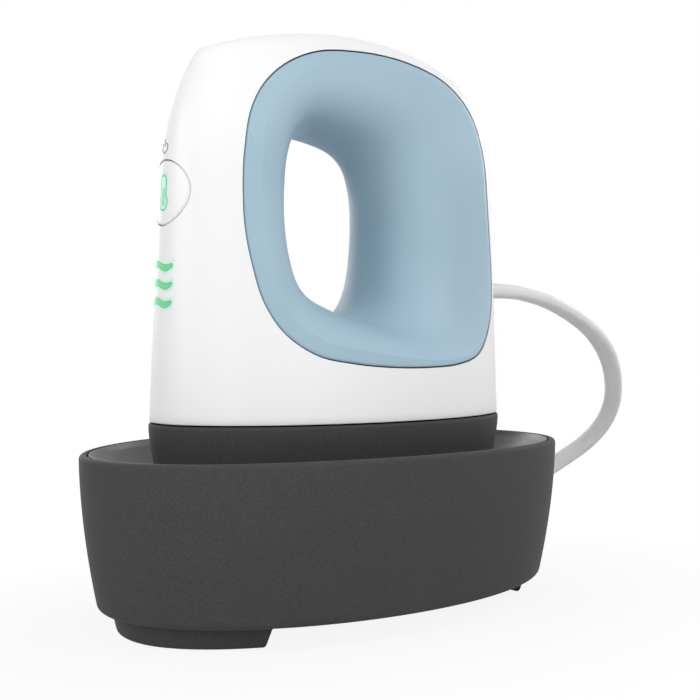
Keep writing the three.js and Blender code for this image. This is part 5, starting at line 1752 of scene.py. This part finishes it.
    def power_print(self) -> None:
        """Prints the on-off symbol above the button, as a thin coat of ink."""
        radius, stroke, opening, ink = 1.05, 0.22, math.radians(62.0), 0.03
        bar_length, bar_z = 1.45, 0.95
        bm = bmesh.new()
        edge = bm.edges.new((bm.verts.new((0.0, 0.0, 0.0)), bm.verts.new((0.0, 0.0, 0.0))))
        turn = math.pi / 2 + opening / 2
        for vert, size in zip(edge.verts, (radius - stroke / 2, radius + stroke / 2)):
            vert.co = Vector((size * math.cos(turn), 0.0, size * math.sin(turn)))
        bmesh.ops.spin(
            bm,
            geom=[*bm.verts, edge],
            cent=(0.0, 0.0, 0.0),
            axis=(0.0, -1.0, 0.0),
            angle=math.tau - opening,
            steps=40,
            use_merge=False,
            use_duplicate=False,
        )
        bar = bmesh.ops.create_grid(bm, x_segments=2, y_segments=10, size=0.5)["verts"]
        bmesh.ops.rotate(bm, verts=bar, matrix=Matrix.Rotation(math.pi / 2, 3, "X"))
        bmesh.ops.scale(bm, verts=bar, vec=(stroke, 1.0, bar_length))
        bmesh.ops.translate(bm, verts=bar, vec=(0.0, 0.0, bar_z))
        grown = bmesh.ops.extrude_face_region(bm, geom=list(bm.faces))["geom"]
        raised = {item for item in grown if isinstance(item, bmesh.types.BMVert)}
        for vert in bm.verts:
            vert.co.z += self.print_z
            lift = ink if vert in raised else -ink
            vert.co.y = self.front_y(vert.co.x, vert.co.z) - lift
        show("on_off_print", bm, PRINT_GREY, Body.PRESS, Slot.DARK_PART)

    def relief(self) -> None:
        """Builds the tapered relief that the lead leaves through."""
        rows = (
            (38.0, 2.95, 1.92), (42.0, 3.0, 1.95), (45.0, 3.0, 1.95), (47.0, 2.95, 1.92),
            (49.0, 2.88, 1.87), (51.0, 2.81, 1.82), (53.0, 2.74, 1.77), (55.0, 2.67, 1.72),
            (57.0, 2.61, 1.68), (58.0, 2.57, 1.65), (58.56, 2.54, 1.63),
        )
        loft = Loft(40)
        for y, half_x, half_z in rows:
            share = max(y - self.relief_droop_from, 0.0) / (self.relief_end - self.relief_droop_from)
            middle = self.lead_z - self.relief_droop * share**4
            loft.through(upright_ring(y, half_x, half_z, 2.8, middle))
        show("lead_relief", loft.closed(), LEAD_GREY, Body.PRESS, Slot.LEAD, ("cord_strain_relief",))

    def build(self) -> None:
        """Builds the housing and all that is on it."""
        self.shell()
        self.lining()
        self.shadow_strips()
        self.button()
        self.lights()
        self.power_print()
        self.relief()


@dataclass
class Foot:
    """The collar under the housing and the heated plate in it."""

    half_length: float = 44.3
    half_width: float = 24.9
    roundness: float = 2.03
    bottom: float = 26.5
    top: float = 42.6
    taper: float = 0.5
    draw_in: float = 1.5
    draw_depth: float = 13.0
    wall: float = 2.0
    deck: float = 2.0
    plate_margin: float = 3.0
    plate_edge: float = 1.6
    plate_reach: float = 19.0
    plate_bottom: float = 24.0
    plate_top: float = 32.0

    def ring(self, z: float, inset: float) -> Section:
        """The collar's section at a height, whose outer face draws in softly and whose wall is upright."""
        depth = max(self.top - z, 0.0)
        if inset < self.wall - 0.5:
            shrink = inset + self.draw_in * (1 - math.cos(math.pi * min(depth / self.draw_depth, 1.0))) / 2
        else:
            shrink = inset + self.taper * depth / (self.top - self.bottom)
        return self.plate_ring(z, shrink)

    def collar(self) -> None:
        """Builds the collar as a cup with its deck."""
        deck_z = self.top - self.deck
        rows = [
            (deck_z, self.wall + 6.0),
            (deck_z, self.wall + 0.4),
            (deck_z - 0.4, self.wall),
            (self.bottom + 0.3, self.wall),
            (self.bottom, self.wall - 0.3),
            (self.bottom, 0.7),
            (self.bottom + 0.12, 0.3),
            (self.bottom + 0.5, 0.05),
            (self.bottom + 1.2, 0.0),
            *((self.bottom + 1.2 + (self.top - self.bottom - 1.9) * i / 10, 0.0) for i in range(1, 11)),
            (self.top - 0.4, 0.03),
            (self.top - 0.1, 0.18),
            (self.top, 0.5),
            (self.top, 8.0),
        ]
        loft = Loft(160).through(*(self.ring(*row) for row in rows))
        show("collar_band", loft.closed(), COLLAR_GREY, Body.PRESS, Slot.CHARCOAL, ("heat_collar",))

    def plate(self) -> None:
        """Builds the heated plate with its rounded edge."""
        loft = Loft(160)
        for share in (0.3, 0.6, 0.85):
            inset = self.plate_margin + self.plate_edge + self.plate_reach * (1 - share)
            loft.through(self.plate_ring(self.plate_bottom, inset))
        for rise, inset in rounded_edge(self.plate_edge, 8):
            loft.through(self.plate_ring(self.plate_bottom + rise, self.plate_margin + inset))
        loft.through(
            self.plate_ring(self.plate_top - 0.3, self.plate_margin),
            self.plate_ring(self.plate_top, self.plate_margin + 0.35),
        )
        show("heated_plate", loft.closed(), PLATE_COAT, Body.PRESS, Slot.PLATE, ("heat_plate",))

    def plate_ring(self, z: float, inset: float) -> Section:
        """The foot's oval at a height, drawn in by an inset."""
        return level_ring(z, self.half_width - inset, self.half_length - inset, self.roundness)

    def build(self) -> None:
        """Builds the collar and the plate."""
        self.collar()
        self.plate()


@dataclass
class SafetyBase:
    """The charcoal base: its hull with two feet, its dish with the pocket, and its pads."""

    rim_half_length: float = 58.6
    rim_half_width: float = 37.7
    bottom_half_length: float = 54.9
    bottom_half_width: float = 33.4
    height: float = 37.1
    bottom: float = 5.0
    bulge: float = 1.78
    roundness: float = 2.03
    edge: float = 1.2
    drop: float = 0.62
    wall: float = 2.6
    lip: float = 1.6
    lip_depth: float = 2.5
    lip_edge: float = 0.25
    ledge_width: float = 1.4
    knee_z: float = 20.0
    foot_half_length: float = 51.0
    foot_half_width: float = 26.8
    foot_roundness: float = 2.12
    foot_flare: float = 1.4
    foot_proud: float = 0.2
    foot_slope: float = 0.2
    foot_fillet: float = 1.2
    foot_edge: float = 0.9
    rim_edge: float = 0.9
    hull_reach: float = 26.0
    front_foot_end: float = -32.1
    rear_foot_start: float = 42.8
    pocket_half_length: float = 46.4
    pocket_half_width: float = 27.0
    pocket_roundness: float = 2.03
    shoulder_z: float = 28.5
    floor_z: float = 19.0
    draft: float = 0.6
    pocket_reach: float = 12.0
    dish_wall: float = 1.8
    dish_power: float = 1.4
    pad_inset: float = 2.4
    pad_thickness: float = 1.4

    def ring(self, z: float, inset: float) -> Section:
        """The hull's section at a height.

        Args:
            z: the height at its sides.
            inset: how far inside the outer face.

        Returns:
            The section.
        """
        share = min(max((z - self.bottom) / (self.height - self.bottom), 0.0), 1.0)
        swell = 1 - (1 - share) ** self.bulge
        half_x = self.bottom_half_width + (self.rim_half_width - self.bottom_half_width) * swell - inset
        half_y = self.bottom_half_length + (self.rim_half_length - self.bottom_half_length) * swell - inset

        def point(angle: float) -> Vector:
            """One point of it, a little lower towards the front and the back."""
            x, y = superellipse(angle, half_x, half_y, self.roundness)
            return Vector((x, y, z - self.drop * share * (y / self.rim_half_length) ** 2))

        return point

    def foot_ring(self, z: float, inset: float) -> Section:
        """The section of both feet at a height."""
        flare = self.foot_flare * (z - self.foot_proud) / (self.bottom + 0.6 - self.foot_proud)
        return self._foot_oval(z, inset - flare)

    def _foot_oval(self, z: float, inset: float) -> Section:
        """The oval of both feet, drawn in by an inset."""
        half_x, half_y = self.foot_half_width - inset, self.foot_half_length - inset
        return level_ring(z, half_x, half_y, self.foot_roundness)

    def feet(self) -> bmesh.types.BMesh:
        """The oval that both feet are cut from."""
        loft = Loft(144)
        for rise, inset in rounded_edge(self.foot_edge, 5):
            loft.through(self.foot_ring(self.foot_proud + rise, inset))
        for rise, inset in ((-0.5, 0.0), (-0.1, -0.15), (0.5, -0.6)):
            loft.through(self.foot_ring(self.bottom + rise, inset))
        return loft.closed()

    def foot_gap(self) -> bmesh.types.BMesh:
        """The body that cuts the gap between the feet, with rounded upper corners."""
        below, above, reach = -2.0, self.bottom + 0.02, 100.0
        low, high = self.front_foot_end, self.rear_foot_start
        bm = bmesh.new()
        bmesh.ops.create_cube(bm, size=1.0)
        for vert in bm.verts:
            z = above if vert.co.z > 0 else below
            end = high - self.foot_slope * z if vert.co.y > 0 else low + self.foot_slope * z
            vert.co = Vector((vert.co.x * reach, end, z))
        top = [edge for edge in bm.edges if all(vert.co.z > 0 for vert in edge.verts)]
        across = [edge for edge in top if abs(edge.verts[0].co.y - edge.verts[1].co.y) < 1e-6]
        bmesh.ops.bevel(
            bm, geom=across, offset=self.foot_fillet, segments=6, profile=0.5, affect="EDGES", material=-1
        )
        return bm

    def hull(self) -> None:
        """Builds the hull with its feet."""
        loft = Loft(176)
        for share in (0.35, 0.7, 0.9):
            loft.through(self.ring(self.bottom, self.edge + self.hull_reach * (1 - share)))
        for rise, inset in rounded_edge(self.edge, 8):
            loft.through(self.ring(self.bottom + rise, inset))
        low, high = self.bottom + self.edge, self.height - self.rim_edge
        for step in range(1, 25):
            loft.through(self.ring(low + (high - low) * step / 24, 0.0))
        for fall, inset in reversed(rounded_edge(self.rim_edge, 6)[:-1]):
            loft.through(self.ring(self.height - fall, inset))
        ledge = self.height - self.lip_depth
        for z, inset in (
            (self.height, self.lip - self.lip_edge),
            (self.height - self.lip_edge, self.lip),
            (ledge, self.lip),
            (ledge, self.lip + self.ledge_width),
            (self.knee_z, self.wall),
            (self.bottom + self.wall, self.wall + self.edge),
        ):
            loft.through(self.ring(z, inset))
        body = combine(loft.closed(), self.feet(), Boolean.JOIN)
        body = combine(body, self.foot_gap(), Boolean.CUT)
        nodes = ("base_shell",)
        show("base_hull", body, CHARCOAL, Body.BASE, Slot.CHARCOAL, nodes, sharp_degrees=28.0)

    def pocket_ring(self, z: float, grow: float) -> Section:
        """The pocket's section at a height."""
        grow -= self.draft * (self.shoulder_z - z) / (self.shoulder_z - self.floor_z)
        half_x, half_y = self.pocket_half_width + grow, self.pocket_half_length + grow
        return level_ring(z, half_x, half_y, self.pocket_roundness)

    def dish_ring(self, share: float, z: float, inset: float) -> Section:
        """A section part of the way from the rim to the pocket.

        Args:
            share: 0 at the rim, 1 at the pocket.
            z: its height at the sides.
            inset: how far inside the hull's outer face the rim lies.

        Returns:
            The section.
        """
        rim, mouth = self.ring(self.height, inset), self.pocket_ring(self.shoulder_z, 0.0)

        def point(angle: float) -> Vector:
            """One point of it."""
            edge = rim(angle)
            spot = edge.lerp(mouth(angle), share)
            spot.z = z + (edge.z - self.height) * (1 - share)
            return spot

        return point

    def dish(self) -> None:
        """Builds the dish and the pocket that the press stands in."""
        outer = self.lip + GAP
        depth = self.height - self.shoulder_z
        under = self.dish_wall
        seat = self.height - self.lip_depth + GAP
        loft = Loft(176)
        low = self.floor_z
        for z, grow in ((low, under - self.pocket_reach), (low, under), (self.shoulder_z, under)):
            loft.through(self.pocket_ring(z - under, grow))
        for share in (0.7, 0.4, 0.2):
            height = self.shoulder_z + depth * (1 - share) ** self.dish_power - under
            loft.through(self.dish_ring(share, height, outer))
        for share, z in (
            (0.04, seat),
            (0.0, seat),
            (0.0, self.height - 0.35),
            (0.01, self.height - 0.08),
            (0.03, self.height - 0.1),
        ):
            loft.through(self.dish_ring(share, z, outer))
        for step in range(1, 25):
            share = 0.03 + 0.95 * step / 24
            height = self.shoulder_z + depth * 0.97 * (1 - share) ** self.dish_power
            loft.through(self.dish_ring(share, height, outer))
        loft.through(self.dish_ring(0.995, self.shoulder_z - 0.1, outer))
        for z, grow in (
            (self.shoulder_z - 0.5, 0.0),
            (self.floor_z + 0.8, 0.0),
            (self.floor_z + 0.2, -0.25),
            (self.floor_z, -0.8),
            (self.floor_z, -self.pocket_reach - 2.0),
        ):
            loft.through(self.pocket_ring(z, grow))
        nodes = ("base_liner",)
        show("base_dish", loft.closed(), DISH_GREY, Body.BASE, Slot.DISH, nodes, sharp_degrees=40.0)

    def pads(self) -> None:
        """Builds the two rubber pads under the feet."""
        limits = (
            ("front_rest", "front_foot_pad", self.front_foot_end - self.pad_inset, 1.0),
            ("rear_rest", "rear_foot_pad", self.rear_foot_start + self.pad_inset, -1.0),
        )
        for name, node, end, way in limits:
            edge = ((0.0, 0.4), (0.1, 0.1), (0.4, 0.0), (self.pad_thickness, 0.0))
            loft = Loft(96).through(*(self._foot_oval(z, self.pad_inset + inset) for z, inset in edge))
            body = trimmed(loft.closed(), Vector((0.0, end, 0.0)), Vector((0.0, way, 0.0)))
            show(name, body, RUBBER, Body.BASE, Slot.RUBBER, (node,))

    def build(self) -> None:
        """Builds the whole base."""
        self.hull()
        self.dish()
        self.pads()
        dress(RUBBER, *numbered("rest_pad", 4))
        dress(STEEL, *numbered("base_screw", 4))


@dataclass
class Inside:
    """What the housing hides, which keeps the frame's own shapes."""

    screws: tuple[tuple[str, int], ...] = (
        ("clamp_screw", 2),
        ("plate_screw", 4),
        ("shell_screw", 2),
        ("board_screw", 2),
    )
    dark: tuple[str, ...] = ("control_chip", "tact_switch", "buzzer", "triac", "switch_plunger")
    pale: tuple[str, ...] = ("thermistor", "film_capacitor", "button_led")

    def build(self) -> None:
        """Gives each hidden node its finish."""
        screws = [node for stem, count in self.screws for node in numbered(stem, count)]
        dress(STEEL, *screws, "heating_element", "element_clamp", "thermal_fuse")
        dress(DARK_PART, *self.dark)
        dress(PALE_PART, *self.pale, *numbered("wave_led", 3))
        dress(FELT, "insulation_pad")
        dress(INNER_GREY, "inner_chassis", "cord_clamp")
        dress(BOARD, "control_board")


def main() -> None:
    """Builds the studio and every sub-assembly in order."""
    Studio().build()
    SupplyLead().build()
    for assembly in (SafetyBase(), Foot(), Housing(), Inside()):
        assembly.build()
        LOG.info("%s is done", type(assembly).__name__)


if __name__ == "__main__":
    main()
